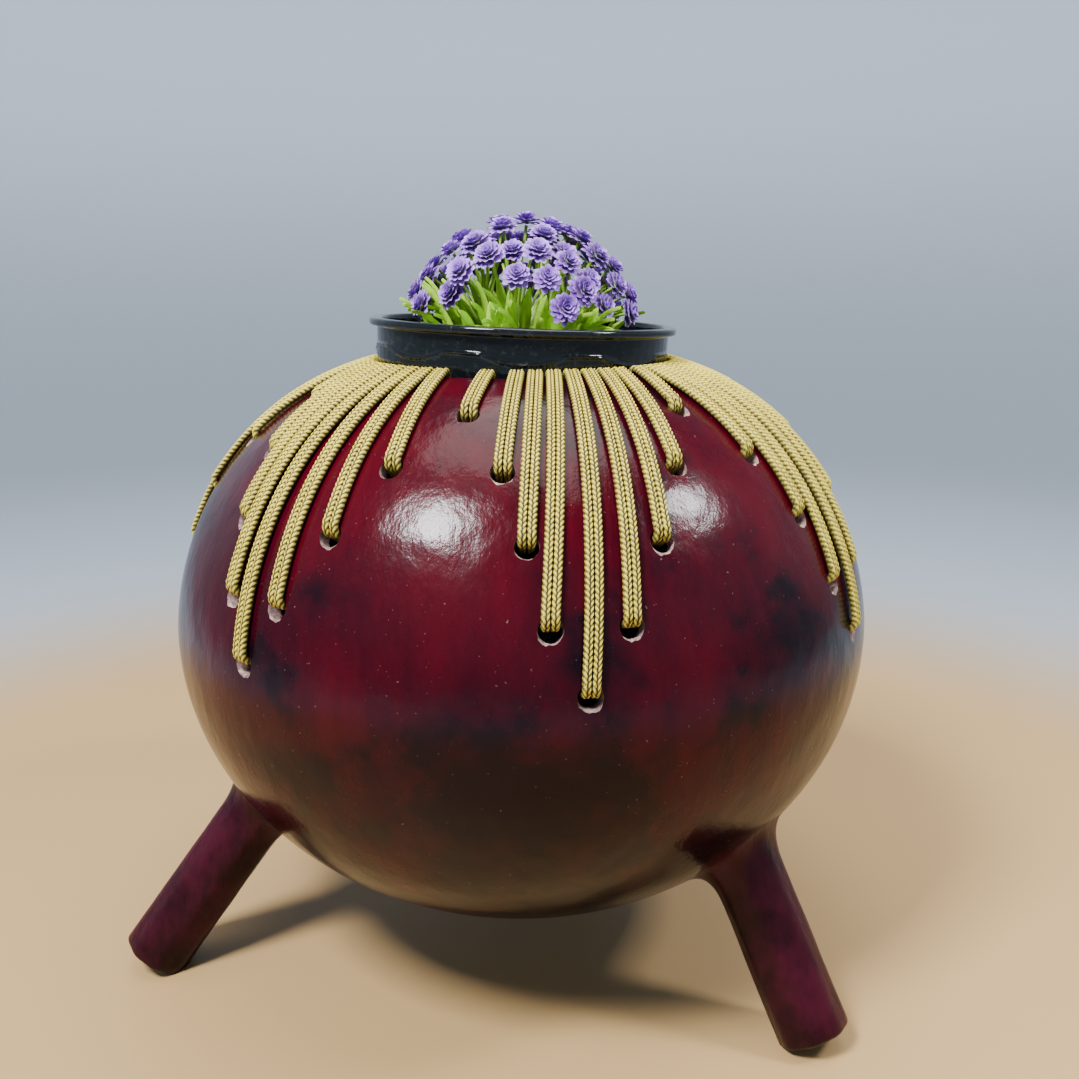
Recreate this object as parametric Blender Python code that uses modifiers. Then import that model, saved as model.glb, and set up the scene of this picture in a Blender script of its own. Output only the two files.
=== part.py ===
"""A dried bottle gourd made into a footed planter with a laced rim.

Lengths are in metres, +Z is up, and the planter stands on Z = 0. The origin is under the middle of its
bounding box. An azimuth is in degrees from the front (-Y) towards the right (+X). Pieces that touch
in the real planter keep a small gap here.
"""
import math
import random

import bmesh
import bpy
from mathutils import Matrix, Vector

# Place of the gourd's axis
AXIS_X = 0.0107
AXIS_Y = -0.0076

# Gourd shell: a half ellipse below its widest ring and a flatter shoulder curve above it
GOURD_RADIUS = 0.126
EQUATOR_Z = 0.128
LOWER_HEIGHT = 0.108
SHOULDER_HEIGHT = 0.097
SHOULDER_POWER = 1.8
SHOULDER_ROOT = 2.84
SHELL_WALL = 0.0048
MOUTH_RADIUS = 0.0553
SHOULDER_TOP_Z = 0.2235
SHELL_SEGMENTS = 35
SHELL_ROWS = 17
SAW_REACH = 0.02
TOUCH_GAP = 0.0003
FINE_STEPS = 300

# Drilled holes: seven fans of eight, going deeper to the middle of each fan
FAN_COUNT = 7
FAN_PITCH_DEG = 360.0 / FAN_COUNT
FIRST_HOLE_DEG = -11.3
HOLE_STEPS_DEG = (0.0, 8.8, 12.8, 15.8, 20.8, 26.8, 33.4, 40.6)
LEFT_STEPS_DEG = (-2.0, 6.6, 12.2, 16.6, 21.2, 26.8, 33.2, 40.0)
HOLE_LEVELS = (0, 1, 2, 3, 4, 3, 2, 1)
LEVEL_HEIGHTS = (0.2105, 0.1965, 0.1780, 0.1565, 0.1380)
HOLE_RADIUS = 0.0037
DRILL_LENGTH = 0.020

# Flat braid laced through the holes and over the rim
FAN_LEANS_DEG = (6.0, 7.0, 3.0, 0.0, -2.0, -3.5, -5.0)
RIM_PITCH_DEG = 6.1
BRAID_WIDTH = 0.0054
BRAID_RIM_WIDTH = 0.0050
BRAID_THICKNESS = 0.0024
BRAID_EASE = 0.0005
BRAID_GAP = 0.0006
BRAID_IN_HOLE = 0.0006
RUN_START = 0.004
RUN_STATIONS = (1, 2, 3, 5, 6)
CROWDING_ROUNDS = 400
KNOT_WIDTH = 0.0068
KNOT_THICKNESS = 0.0050
KNOT_CLEARANCE = 0.0008
KNOT_SHOULDER = 0.0006
KNOT_LENGTH = 0.0046
KNOT_TAPER = 0.0008
KNOT_END = 0.65
TAIL_LENGTH = 0.014
TAIL_DROP_DEG = 78.0

# Legs: name, azimuth, tilt from vertical, radius of the foot's centre
LEG_RADIUS = 0.0125
LEG_SEGMENTS = 16
LEG_LENGTH = 0.085
FOOT_CENTRE_Z = 0.0038
FOOT_ROUNDING = 0.0012
LEGS = (
    ("left", -75.0, 37.0, 0.1420),
    ("right", 49.5, 29.0, 0.1294),
    ("back", 167.5, 33.0, 0.1350),
)
LEG_TOP_Z = 0.0545
PUTTY_BELOW = 0.014
PUTTY_ABOVE = 0.016
PUTTY_NECK = 0.0009
PUTTY_FLARE = 0.021
PUTTY_HOLLOW = 2.6
PUTTY_ROWS = 3
BORE_EXTRA = 0.02
FLOOR_BLOCK_RADIUS = 0.3
FLOOR_BLOCK_DEPTH = 0.1

# Plastic pot, measured from the plane of the gourd's mouth
POT_TILT_DEG = 2.2
POT_SEGMENTS = 28
POT_WALL = 0.0014
POT_LIP_TOP = 0.0155
POT_LIP_RADIUS = 0.0548
POT_LIP_HEIGHT = 0.0027
POT_BAND_RADIUS = 0.0521
POT_MOUTH_RADIUS = 0.0516
POT_BAND_BOTTOM = -0.003
POT_STEP = 0.0008
POT_STEP_HEIGHT = 0.0015
POT_EDGE = 0.0006
POT_FOOT_EDGE = 0.001
POT_FLOOR_RADIUS = 0.0415
POT_BOTTOM = -0.072
FOAM_TOP = 0.006
FOAM_SEGMENTS = 16

# Artificial flowers, in the pot's own frame
SPRAY_COUNT = 7
SPRAY_RADIUS = 0.016
SPRAY_FOOT = -0.018
SPRAY_FORK = 0.020
FORK_SPACING = 0.0012
MAIN_STEM_RADIUS = 0.0019
STEM_RADIUS = 0.0008
STEM_HOLE_RADIUS = 0.0024
HEAD_COUNT = 68
HEAD_RADIUS = 0.0052
HEAD_HEIGHT = 0.0040
HEAD_BOTTOM = -0.0010
HEAD_TURN = 0.9
HEAD_SWING_DEG = 3.0
HEAD_UNEVENNESS = 0.0012
DEEP_EVERY = 3
PETALS = 5
# Share of the head's radius at petal tips and at notches, then height of each, for both tiers
PETAL_TIERS = (
    (1.0, 0.62, 0.0003, 0.0008),
    (0.46, 0.80, 0.0020, 0.0022),
)
DOME_CENTRE = 0.0115
DOME_RADIUS = 0.040
DOME_HEIGHT = 0.0388
DOME_EDGE_DEG = 78.0
DEEP_HEAD = 0.0045
BARE_WINDOW_DEG = (-42.0, 6.0)
BARE_POLAR_DEG = 60.0
FLOWER_SEED = 7
SECTOR_START_DEG = 8.0
LEAF_WIDTH = 0.0052
LEAF_THICKNESS = 0.0009
LEAF_FOOT = 0.0075
LEAF_SPACING = 0.0010
LEAF_ARCH_DEG = 26.0
# Share of the leaf's length, and of its width there
LEAF_OUTLINE = ((0.0, 0.30), (0.35, 1.0), (0.72, 0.72), (1.0, 0.0))
# Turn from the spray's own direction, lift from level, and length of each leaf
LEAVES = (
    (-21.0, 26.0, 0.024),
    (-6.0, 56.0, 0.020),
    (9.0, 36.0, 0.026),
    (22.0, 50.0, 0.021),
)

# Colours as red, green, blue, roughness
FINISHES = {
    "gourd": (0.16, 0.012, 0.028, 0.22),
    "leg": (0.075, 0.010, 0.022, 0.42),
    "putty": (0.085, 0.011, 0.022, 0.38),
    "braid": (0.60, 0.50, 0.19, 0.80),
    "pot": (0.010, 0.012, 0.014, 0.14),
    "foam": (0.07, 0.10, 0.04, 0.95),
    "flower": (0.23, 0.15, 0.55, 0.60),
}


def clear_scene():
    for item in list(bpy.data.objects):
        bpy.data.objects.remove(item, do_unlink=True)


def new_collection(name):
    collection = bpy.data.collections.new(name)
    bpy.context.scene.collection.children.link(collection)
    return collection


def make_material(name):
    red, green, blue, roughness = FINISHES[name]
    material = bpy.data.materials.new(name)
    material.use_nodes = True
    shader = material.node_tree.nodes["Principled BSDF"]
    shader.inputs["Base Color"].default_value = (red, green, blue, 1.0)
    shader.inputs["Roughness"].default_value = roughness
    shader.inputs["Metallic"].default_value = 0.0
    return material


def add_object(name, mesh, collection):
    piece = bpy.data.objects.new(name, mesh)
    collection.objects.link(piece)
    return piece


def bake(piece):
    """Replace a piece's mesh or curve by what its modifiers make of it, shaded smooth up to 40 degrees."""
    bpy.context.view_layer.update()
    graph = bpy.context.evaluated_depsgraph_get()
    mesh = bpy.data.meshes.new_from_object(piece.evaluated_get(graph))
    piece.modifiers.clear()
    piece.data = mesh
    mesh.shade_smooth()
    mesh.set_sharp_from_angle(angle=math.radians(40.0))


def cut(piece, cutter):
    """Subtract a cutter, which stays in its own collection until the end."""
    cutter.hide_render = True
    cutter.display_type = "WIRE"
    boolean = piece.modifiers.new("cut_" + cutter.name, "BOOLEAN")
    boolean.operation = "DIFFERENCE"
    boolean.solver = "EXACT"
    boolean.object = cutter


def turned(name, profile, segments, collection):
    """Spin a profile of (radius, height) points, given inner side first and then down the outer side."""
    mesh = bpy.data.meshes.new(name)
    points = [(radius, 0.0, height) for radius, height in profile]
    mesh.from_pydata(points, [(i, i + 1) for i in range(len(points) - 1)], [])
    piece = add_object(name, mesh, collection)
    spin = piece.modifiers.new("spin", "SCREW")
    spin.steps = segments
    spin.render_steps = segments
    spin.use_merge_vertices = True
    spin.merge_threshold = 0.00001
    return piece


def skin(name, rings, collection):
    """Close a skin over rings of points. A ring of one point is a pole, and an open end gets a cap."""
    mesh_maker = bmesh.new()
    rows = [[mesh_maker.verts.new(point) for point in ring] for ring in rings]
    for row, following in zip(rows, rows[1:]):
        count = max(len(row), len(following))
        for i in range(count):
            corners = [row[i % len(row)], row[(i + 1) % len(row)]]
            corners += [following[(i + 1) % len(following)], following[i % len(following)]]
            mesh_maker.faces.new(list(dict.fromkeys(corners)))
    for row in (rows[0], rows[-1]):
        if len(row) > 1:
            mesh_maker.faces.new(row)
    bmesh.ops.recalc_face_normals(mesh_maker, faces=mesh_maker.faces)
    bmesh.ops.triangulate(mesh_maker, faces=mesh_maker.faces)
    mesh = bpy.data.meshes.new(name)
    mesh_maker.to_mesh(mesh)
    mesh_maker.free()
    return add_object(name, mesh, collection)


def keep_largest_body(piece):
    """Drop loose scraps and the walls of sealed hollows that a union leaves behind."""
    mesh_maker = bmesh.new()
    mesh_maker.from_mesh(piece.data)
    left = set(mesh_maker.verts)
    bodies = []
    while left:
        body = set()
        edge_of_body = [left.pop()]
        while edge_of_body:
            vert = edge_of_body.pop()
            body.add(vert)
            for edge in vert.link_edges:
                other = edge.other_vert(vert)
                if other in left:
                    left.remove(other)
                    edge_of_body.append(other)
        bodies.append(body)
    bodies.sort(key=len)
    for body in bodies[:-1]:
        bmesh.ops.delete(mesh_maker, geom=list(body), context="VERTS")
    mesh_maker.to_mesh(piece.data)
    mesh_maker.free()


def around(azimuth_deg, radius, height):
    """The point at an azimuth, seen from the gourd's axis."""
    turn = math.radians(azimuth_deg)
    return Vector((radius * math.sin(turn), -radius * math.cos(turn), height))


def sideways(azimuth_deg):
    turn = math.radians(azimuth_deg)
    return Vector((math.cos(turn), math.sin(turn), 0.0))


def outer_radius(height):
    if height < EQUATOR_Z:
        drop = (EQUATOR_Z - height) / LOWER_HEIGHT
        return GOURD_RADIUS * math.sqrt(max(0.0, 1.0 - drop * drop))
    rise = (height - EQUATOR_Z) / SHOULDER_HEIGHT
    return GOURD_RADIUS * max(0.0, 1.0 - rise ** SHOULDER_POWER) ** (1.0 / SHOULDER_ROOT)


def outward(height):
    """The outward direction of the skin as (radial, up), above the equator."""
    step = 0.0001
    slope = (outer_radius(height + step) - outer_radius(height - step)) / (2.0 * step)
    return Vector((1.0, -slope)).normalized()


def outline(offset, rows):
    """Evenly spaced points down the skin, from the shoulder's top to the bottom pole."""
    dense = []
    for i in range(FINE_STEPS):
        height = SHOULDER_TOP_Z + (EQUATOR_Z - SHOULDER_TOP_Z) * i / FINE_STEPS
        way = outward(height)
        dense.append(Vector((outer_radius(height), height)) + offset * way)
    for i in range(FINE_STEPS + 1):
        angle = 0.5 * math.pi * i / FINE_STEPS
        way = Vector((LOWER_HEIGHT * math.cos(angle), -GOURD_RADIUS * math.sin(angle))).normalized()
        on_skin = Vector((GOURD_RADIUS * math.cos(angle), EQUATOR_Z - LOWER_HEIGHT * math.sin(angle)))
        dense.append(on_skin + offset * way)
    dense[-1].x = 0.0
    lengths = [0.0]
    for point, following in zip(dense, dense[1:]):
        lengths.append(lengths[-1] + (following - point).length)
    picked = []
    at = 0
    for row in range(rows):
        wanted = lengths[-1] * row / rows
        while lengths[at + 1] < wanted:
            at += 1
        share = (wanted - lengths[at]) / (lengths[at + 1] - lengths[at])
        picked.append(dense[at].lerp(dense[at + 1], share))
    return picked + [dense[-1]]


def mouth_edges():
    """The mouth's upper and lower edges as (radius, height). It was sawn straight down."""
    narrowing = (MOUTH_RADIUS / GOURD_RADIUS) ** SHOULDER_ROOT
    top = EQUATOR_Z + SHOULDER_HEIGHT * (1.0 - narrowing) ** (1.0 / SHOULDER_POWER)
    bottom = top - SHELL_WALL / outward(top).y
    return Vector((MOUTH_RADIUS, top)), Vector((MOUTH_RADIUS, bottom))


def hole_places():
    """Azimuth and level of all the drilled holes, in order round the gourd."""
    places = []
    for fan in range(FAN_COUNT):
        steps = LEFT_STEPS_DEG if FAN_LEANS_DEG[fan] < 0.0 else HOLE_STEPS_DEG
        for step, level in zip(steps, HOLE_LEVELS):
            places.append((FIRST_HOLE_DEG + fan * FAN_PITCH_DEG + step, level))
    return places


def rim_azimuths():
    """Where each braid crosses the rim: each fan leans over, and crowded braids push each other apart."""
    spots = []
    for i, (azimuth, level) in enumerate(hole_places()):
        fan = i // len(HOLE_STEPS_DEG)
        lean = FAN_LEANS_DEG[fan]
        if level == 0:
            lean = 0.5 * (lean + FAN_LEANS_DEG[fan - 1])
        spots.append(azimuth + lean)
    count = len(spots)
    for _ in range(CROWDING_ROUNDS):
        for i in range(count):
            following = spots[(i + 1) % count] + (360.0 if i == count - 1 else 0.0)
            crowd = RIM_PITCH_DEG - (following - spots[i])
            if crowd > 0.0:
                spots[i] -= 0.5 * crowd
                spots[(i + 1) % count] += 0.5 * crowd
    return spots


def gourd_block(name, offset, collection):
    """The whole gourd as one closed body, grown by an offset, for cutting what sits against it."""
    skin_points = outline(offset, SHELL_ROWS)
    profile = [Vector((0.0, skin_points[0].y))] + skin_points
    return turned(name, profile, SHELL_SEGMENTS, collection)


def drill_set(collection):
    """All the drills as one cutter. Each is six-sided, with a corner up the skin."""
    mesh_maker = bmesh.new()
    for azimuth, level in hole_places():
        height = LEVEL_HEIGHTS[level]
        way = outward(height)
        along = around(azimuth, way.x, way.y)
        across = sideways(azimuth)
        up = along.cross(across)
        middle = around(azimuth, outer_radius(height), height)
        frame = Matrix((across, up, along)).transposed()
        place = Matrix.Translation(middle) @ frame.to_4x4()
        bmesh.ops.create_cone(mesh_maker, cap_ends=True, segments=6, radius1=HOLE_RADIUS,
                              radius2=HOLE_RADIUS, depth=DRILL_LENGTH, matrix=place)
    bmesh.ops.recalc_face_normals(mesh_maker, faces=mesh_maker.faces)
    mesh = bpy.data.meshes.new("drill_set")
    mesh_maker.to_mesh(mesh)
    mesh_maker.free()
    return add_object("drill_set", mesh, collection)


def make_shell(planter, cutters):
    shell = turned("gourd_shell", outline(0.0, SHELL_ROWS), SHELL_SEGMENTS, planter)
    wall = shell.modifiers.new("wall", "SOLIDIFY")
    wall.thickness = SHELL_WALL
    wall.offset = -1.0
    wall.use_even_offset = True
    edge_z = mouth_edges()[0].y
    top, bottom = edge_z + SAW_REACH, edge_z - SAW_REACH
    saw_profile = [(0.0, top), (MOUTH_RADIUS, top), (MOUTH_RADIUS, bottom), (0.0, bottom)]
    cut(shell, turned("mouth_saw", saw_profile, SHELL_SEGMENTS, cutters))
    cut(shell, drill_set(cutters))
    return shell


def braid_section(azimuth, low, high, width):
    """Four corners of the braid: the two that face the shell, then the two that face away."""
    side = sideways(azimuth)
    near = around(azimuth, low.x, low.y)
    far = around(azimuth, high.x, high.y)
    half = 0.5 * width
    return [near - half * side, near + half * side,
            far + (half - BRAID_EASE) * side, far - (half - BRAID_EASE) * side]


def hole_frame(level):
    """A function from (up the skin, out of it) to (radius, height), at a hole's middle."""
    height = LEVEL_HEIGHTS[level]
    out = outward(height)
    up = Vector((-out.y, out.x))
    middle = Vector((outer_radius(height), height))
    return lambda rise, depth: middle + rise * up + depth * out


def through_hole(azimuth, level):
    """Out of the hole and round its upper edge, to lie flat on the skin."""
    place = hole_frame(level)
    half = 0.5 * BRAID_THICKNESS
    near = BRAID_IN_HOLE + half
    far = BRAID_IN_HOLE - half
    bend = BRAID_THICKNESS * math.tan(math.radians(22.5))
    return [
        braid_section(azimuth, place(near, 0.0), place(far, bend), BRAID_RIM_WIDTH),
        braid_section(azimuth, place(near + BRAID_GAP, BRAID_GAP),
                      place(near + BRAID_GAP - bend, BRAID_GAP + BRAID_THICKNESS), BRAID_WIDTH),
    ]


def up_the_skin(azimuth, rim_azimuth, level):
    """The run from the hole to the saw cut. Taut braid turns faster where the gourd is narrower."""
    start = LEVEL_HEIGHTS[level] + RUN_START * outward(LEVEL_HEIGHTS[level]).x
    top = mouth_edges()[0].y
    heights = [top - (top - start) * (1.0 - i / FINE_STEPS) ** 2 for i in range(FINE_STEPS + 1)]
    skin_points = [Vector((outer_radius(height), height)) for height in heights]
    travel = [0.0]
    turning = [0.0]
    for point, following in zip(skin_points, skin_points[1:]):
        step = (following - point).length
        travel.append(travel[-1] + step)
        turning.append(turning[-1] + step / (0.5 * (point.x + following.x)) ** 2)
    sections = []
    stations = RUN_STATIONS[level]
    for station in range(1, stations + 1):
        wanted = travel[-1] * station / (stations + 1)
        at = next(i for i, length in enumerate(travel) if length >= wanted)
        turn = azimuth + (rim_azimuth - azimuth) * turning[at] / turning[-1]
        out = outward(heights[at])
        low = skin_points[at] + BRAID_GAP * out
        high = low + BRAID_THICKNESS * out
        sections.append(braid_section(turn, low, high, BRAID_WIDTH))
    return sections


def over_the_rim(rim_azimuth, target):
    """Round the mouth's upper edge, down the saw cut and round its lower edge, towards a target inside."""
    upper, lower = mouth_edges()
    slope = outward(upper.y)
    first = math.atan2(slope.y, slope.x)
    turn = math.pi - first
    sections = []
    for share in (0.25, 0.75):
        angle = first + turn * share
        ray = Vector((math.cos(angle), math.sin(angle)))
        low = upper + BRAID_GAP / math.cos(0.25 * turn) * ray
        high = upper + (BRAID_GAP + BRAID_THICKNESS) * ray
        sections.append(braid_section(rim_azimuth, low, high, BRAID_RIM_WIDTH))
    way = (target - lower).normalized()
    bisector = (Vector((-1.0, 0.0)) + Vector((way.y, -way.x))).normalized()
    stretch = -1.0 / bisector.x
    low = lower + BRAID_GAP * stretch * bisector
    high = low + BRAID_THICKNESS * stretch * bisector
    sections.append(braid_section(rim_azimuth, low, high, BRAID_RIM_WIDTH))
    return sections


def inner_bend_place(level):
    """Where the braid turns into a hole from inside, on its side nearest the shell."""
    place = hole_frame(level)
    return place(BRAID_IN_HOLE + 0.5 * BRAID_THICKNESS, -SHELL_WALL - BRAID_GAP)


def into_hole(azimuth, level):
    """The mitred bend from the inner run into the hole."""
    near = inner_bend_place(level)
    run = (near - mouth_edges()[1]).normalized()
    out = outward(LEVEL_HEIGHTS[level])
    run_side = Vector((run.y, -run.x))
    hole_side = Vector((out.y, -out.x))
    bisector = (run_side + hole_side).normalized()
    reach = BRAID_THICKNESS / bisector.dot(hole_side)
    return braid_section(azimuth, near, near + reach * bisector, BRAID_RIM_WIDTH)


def knot_profile():
    """Distance along the braid, half thickness and width of a knot, from the braid to its blunt end."""
    half_knot = 0.5 * KNOT_THICKNESS
    return (
        (0.0, 0.5 * BRAID_THICKNESS, BRAID_RIM_WIDTH),
        (KNOT_SHOULDER, half_knot, KNOT_WIDTH),
        (KNOT_LENGTH, half_knot, KNOT_WIDTH),
        (KNOT_LENGTH + KNOT_TAPER, KNOT_END * half_knot, KNOT_END * KNOT_WIDTH),
    )


def first_knot(azimuth, level):
    """The knot that stops the braid behind its first hole."""
    place = hole_frame(level)
    sections = []
    for length, half, width in reversed(knot_profile()):
        depth = SHELL_WALL + KNOT_CLEARANCE + length
        low = place(BRAID_IN_HOLE + half, -depth)
        high = place(BRAID_IN_HOLE - half, -depth)
        sections.append(braid_section(azimuth, low, high, width))
    return sections


def last_knot(rim_azimuth):
    """The tail that hangs inside the mouth and ends in a knot."""
    drop = math.radians(TAIL_DROP_DEG)
    way = Vector((math.cos(drop), -math.sin(drop)))
    away = Vector((-math.sin(drop), -math.cos(drop)))
    middle = mouth_edges()[1] + (BRAID_GAP + 0.5 * BRAID_THICKNESS) * away
    sections = []
    for length, half, width in knot_profile():
        centre = middle + (TAIL_LENGTH + length) * way
        sections.append(braid_section(rim_azimuth, centre - half * away, centre + half * away, width))
    return sections


def make_lacing(fan, rims, planter):
    """One length of braid, laced through the eight holes of a fan."""
    holes = hole_places()
    per_fan = len(HOLE_STEPS_DEG)
    rings = []
    for k in range(per_fan):
        azimuth, level = holes[fan * per_fan + k]
        rim_azimuth = rims[fan * per_fan + k]
        rings += [into_hole(azimuth, level)] if k else first_knot(azimuth, level)
        rings += through_hole(azimuth, level)
        rings += up_the_skin(azimuth, rim_azimuth, level)
        if k < per_fan - 1:
            rings += over_the_rim(rim_azimuth, inner_bend_place(HOLE_LEVELS[k + 1]))
        else:
            drop = math.radians(TAIL_DROP_DEG)
            tail_way = Vector((math.cos(drop), -math.sin(drop)))
            rings += over_the_rim(rim_azimuth, mouth_edges()[1] + tail_way)
            rings += last_knot(rim_azimuth)
    return skin("lacing_fan_%d" % (fan + 1), rings, planter)


def leg_frame(azimuth, tilt, foot_radius):
    """Matrix of a leg: its own +Z runs from the foot's centre up the leg."""
    turn = math.radians(azimuth)
    lean = math.radians(tilt)
    inward = Vector((-math.sin(turn), math.cos(turn), 0.0))
    up = inward * math.sin(lean) + Vector((0.0, 0.0, math.cos(lean)))
    foot = around(azimuth, foot_radius, FOOT_CENTRE_Z)
    return Matrix.Translation(foot) @ up.to_track_quat("Z", "Y").to_matrix().to_4x4()


def make_dowel(name, radius, length, frame, collection):
    mesh_maker = bmesh.new()
    place = Matrix.Translation((0.0, 0.0, 0.5 * length))
    bmesh.ops.create_cone(mesh_maker, cap_ends=True, segments=LEG_SEGMENTS, radius1=radius,
                          radius2=radius, depth=length, matrix=place)
    mesh = bpy.data.meshes.new(name)
    mesh_maker.to_mesh(mesh)
    mesh_maker.free()
    piece = add_object(name, mesh, collection)
    piece.matrix_world = frame
    return piece


def putty_profile(top):
    """Hollow-cheeked flare round the leg, widest inside the gourd, where the shell cuts it off."""
    profile = [(0.0, top + PUTTY_ABOVE)]
    reach = PUTTY_ABOVE + PUTTY_BELOW
    for row in range(PUTTY_ROWS + 1):
        share = row / PUTTY_ROWS
        height = top + PUTTY_ABOVE - reach * share
        profile.append((LEG_RADIUS + PUTTY_NECK + PUTTY_FLARE * (1.0 - share) ** PUTTY_HOLLOW, height))
    profile.append((0.0, top - PUTTY_BELOW))
    return profile


def make_floor_block(cutters):
    """A block under Z = 0, which cuts the feet flat."""
    radius, depth = FLOOR_BLOCK_RADIUS, FLOOR_BLOCK_DEPTH
    return turned("floor_block", [(0.0, 0.0), (radius, 0.0), (radius, -depth), (0.0, -depth)], 8, cutters)


def make_leg(name, azimuth, tilt, foot_radius, planter, cutters, gourd_cutter, floor):
    frame = leg_frame(azimuth, tilt, foot_radius)
    leg = make_dowel("leg_" + name, LEG_RADIUS, LEG_LENGTH, frame, planter)
    edge = leg.modifiers.new("rounded_foot", "BEVEL")
    edge.width = FOOT_ROUNDING
    edge.segments = 2
    edge.limit_method = "ANGLE"
    cut(leg, gourd_cutter)
    cut(leg, floor)
    top = (LEG_TOP_Z - FOOT_CENTRE_Z) / math.cos(math.radians(tilt))
    putty = turned("putty_" + name, putty_profile(top), LEG_SEGMENTS, planter)
    putty.matrix_world = frame
    bore = make_dowel("bore_" + name, LEG_RADIUS + TOUCH_GAP, LEG_LENGTH + BORE_EXTRA, frame, cutters)
    cut(putty, bore)
    cut(putty, gourd_cutter)
    return leg, putty


def pot_inner_radius(height):
    """Radius of the pot's inner face, below its lip."""
    if height > POT_BAND_BOTTOM:
        share = (height - POT_BAND_BOTTOM) / (POT_LIP_TOP - POT_BAND_BOTTOM)
        return POT_MOUTH_RADIUS + (POT_BAND_RADIUS - POT_MOUTH_RADIUS) * share - POT_WALL
    share = (height - POT_BOTTOM) / (POT_BAND_BOTTOM - POT_BOTTOM)
    top = POT_MOUTH_RADIUS - POT_STEP - POT_WALL
    bottom = POT_FLOOR_RADIUS - POT_WALL
    return bottom + (top - bottom) * share


def make_pot(planter):
    """Inside first, then the lip and down the outer side."""
    floor_z = POT_BOTTOM + POT_WALL
    lip_under = POT_LIP_TOP - POT_LIP_HEIGHT
    step_z = POT_BAND_BOTTOM - POT_STEP_HEIGHT
    band_inner = POT_BAND_RADIUS - POT_WALL
    profile = [
        (0.0, floor_z),
        (pot_inner_radius(floor_z), floor_z),
        (pot_inner_radius(step_z), step_z),
        (POT_MOUTH_RADIUS - POT_WALL, POT_BAND_BOTTOM),
        (band_inner, POT_LIP_TOP - POT_EDGE),
        (band_inner + POT_EDGE, POT_LIP_TOP),
        (POT_LIP_RADIUS - POT_EDGE, POT_LIP_TOP),
        (POT_LIP_RADIUS, POT_LIP_TOP - POT_EDGE),
        (POT_LIP_RADIUS, lip_under + POT_EDGE),
        (POT_LIP_RADIUS - POT_EDGE, lip_under),
        (POT_BAND_RADIUS, lip_under),
        (POT_MOUTH_RADIUS, POT_BAND_BOTTOM),
        (POT_MOUTH_RADIUS - POT_STEP, step_z),
        (POT_FLOOR_RADIUS, POT_BOTTOM + POT_FOOT_EDGE),
        (POT_FLOOR_RADIUS - POT_FOOT_EDGE, POT_BOTTOM),
        (0.0, POT_BOTTOM),
    ]
    return turned("plant_pot", profile, POT_SEGMENTS, planter)


def sector_middle_deg(sector):
    return SECTOR_START_DEG + (sector + 0.5) * 360.0 / SPRAY_COUNT


def sector_of(azimuth_deg):
    return int(((azimuth_deg - SECTOR_START_DEG) % 360.0) * SPRAY_COUNT / 360.0)


def make_foam(planter, cutters):
    """The filling, with a plain hole for each main stem."""
    bottom = POT_BOTTOM + POT_WALL + TOUCH_GAP
    under_band = POT_BAND_BOTTOM - 2.0 * POT_STEP_HEIGHT
    profile = [
        (0.0, FOAM_TOP),
        (pot_inner_radius(FOAM_TOP) - 4.0 * TOUCH_GAP, FOAM_TOP),
        (pot_inner_radius(under_band) - 2.0 * TOUCH_GAP, under_band),
        (pot_inner_radius(bottom) - 2.0 * TOUCH_GAP, bottom),
        (0.0, bottom),
    ]
    foam = turned("floral_foam", profile, FOAM_SEGMENTS, planter)
    mesh_maker = bmesh.new()
    depth = 2.0 * (FOAM_TOP - SPRAY_FOOT + TOUCH_GAP)
    for sector in range(SPRAY_COUNT):
        place = Matrix.Translation(around(sector_middle_deg(sector), SPRAY_RADIUS, FOAM_TOP))
        bmesh.ops.create_cone(mesh_maker, cap_ends=True, segments=8, radius1=STEM_HOLE_RADIUS,
                              radius2=STEM_HOLE_RADIUS, depth=depth, matrix=place)
    mesh = bpy.data.meshes.new("stem_drills")
    mesh_maker.to_mesh(mesh)
    mesh_maker.free()
    cut(foam, add_object("stem_drills", mesh, cutters))
    return foam


def head_places():
    """Azimuth, polar angle and extra depth of each flower head on the dome."""
    draw = random.Random(FLOWER_SEED)
    golden = 180.0 * (3.0 - math.sqrt(5.0))
    places = []
    for i in range(HEAD_COUNT):
        share = (i + 0.5) / HEAD_COUNT
        polar = math.degrees(math.acos(1.0 - (1.0 - math.cos(math.radians(DOME_EDGE_DEG))) * share))
        azimuth = (i * golden + draw.uniform(-HEAD_SWING_DEG, HEAD_SWING_DEG) + 180.0) % 360.0 - 180.0
        depth = draw.uniform(0.0, HEAD_UNEVENNESS) + (DEEP_HEAD if i % DEEP_EVERY == 1 else 0.0)
        low, high = BARE_WINDOW_DEG
        if polar > BARE_POLAR_DEG and low < azimuth < high:
            continue
        places.append((azimuth, polar, depth))
    return places


def head_frame(azimuth, polar, depth):
    """Matrix of a head: its own +Z looks out of the dome, and its origin is under its petals."""
    tilt = math.radians(polar)
    out = around(azimuth, math.sin(tilt), math.cos(tilt))
    foot = around(azimuth, DOME_RADIUS * math.sin(tilt), DOME_CENTRE + DOME_HEIGHT * math.cos(tilt))
    return Matrix.Translation(foot - depth * out) @ out.to_track_quat("Z", "Y").to_matrix().to_4x4()


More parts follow.
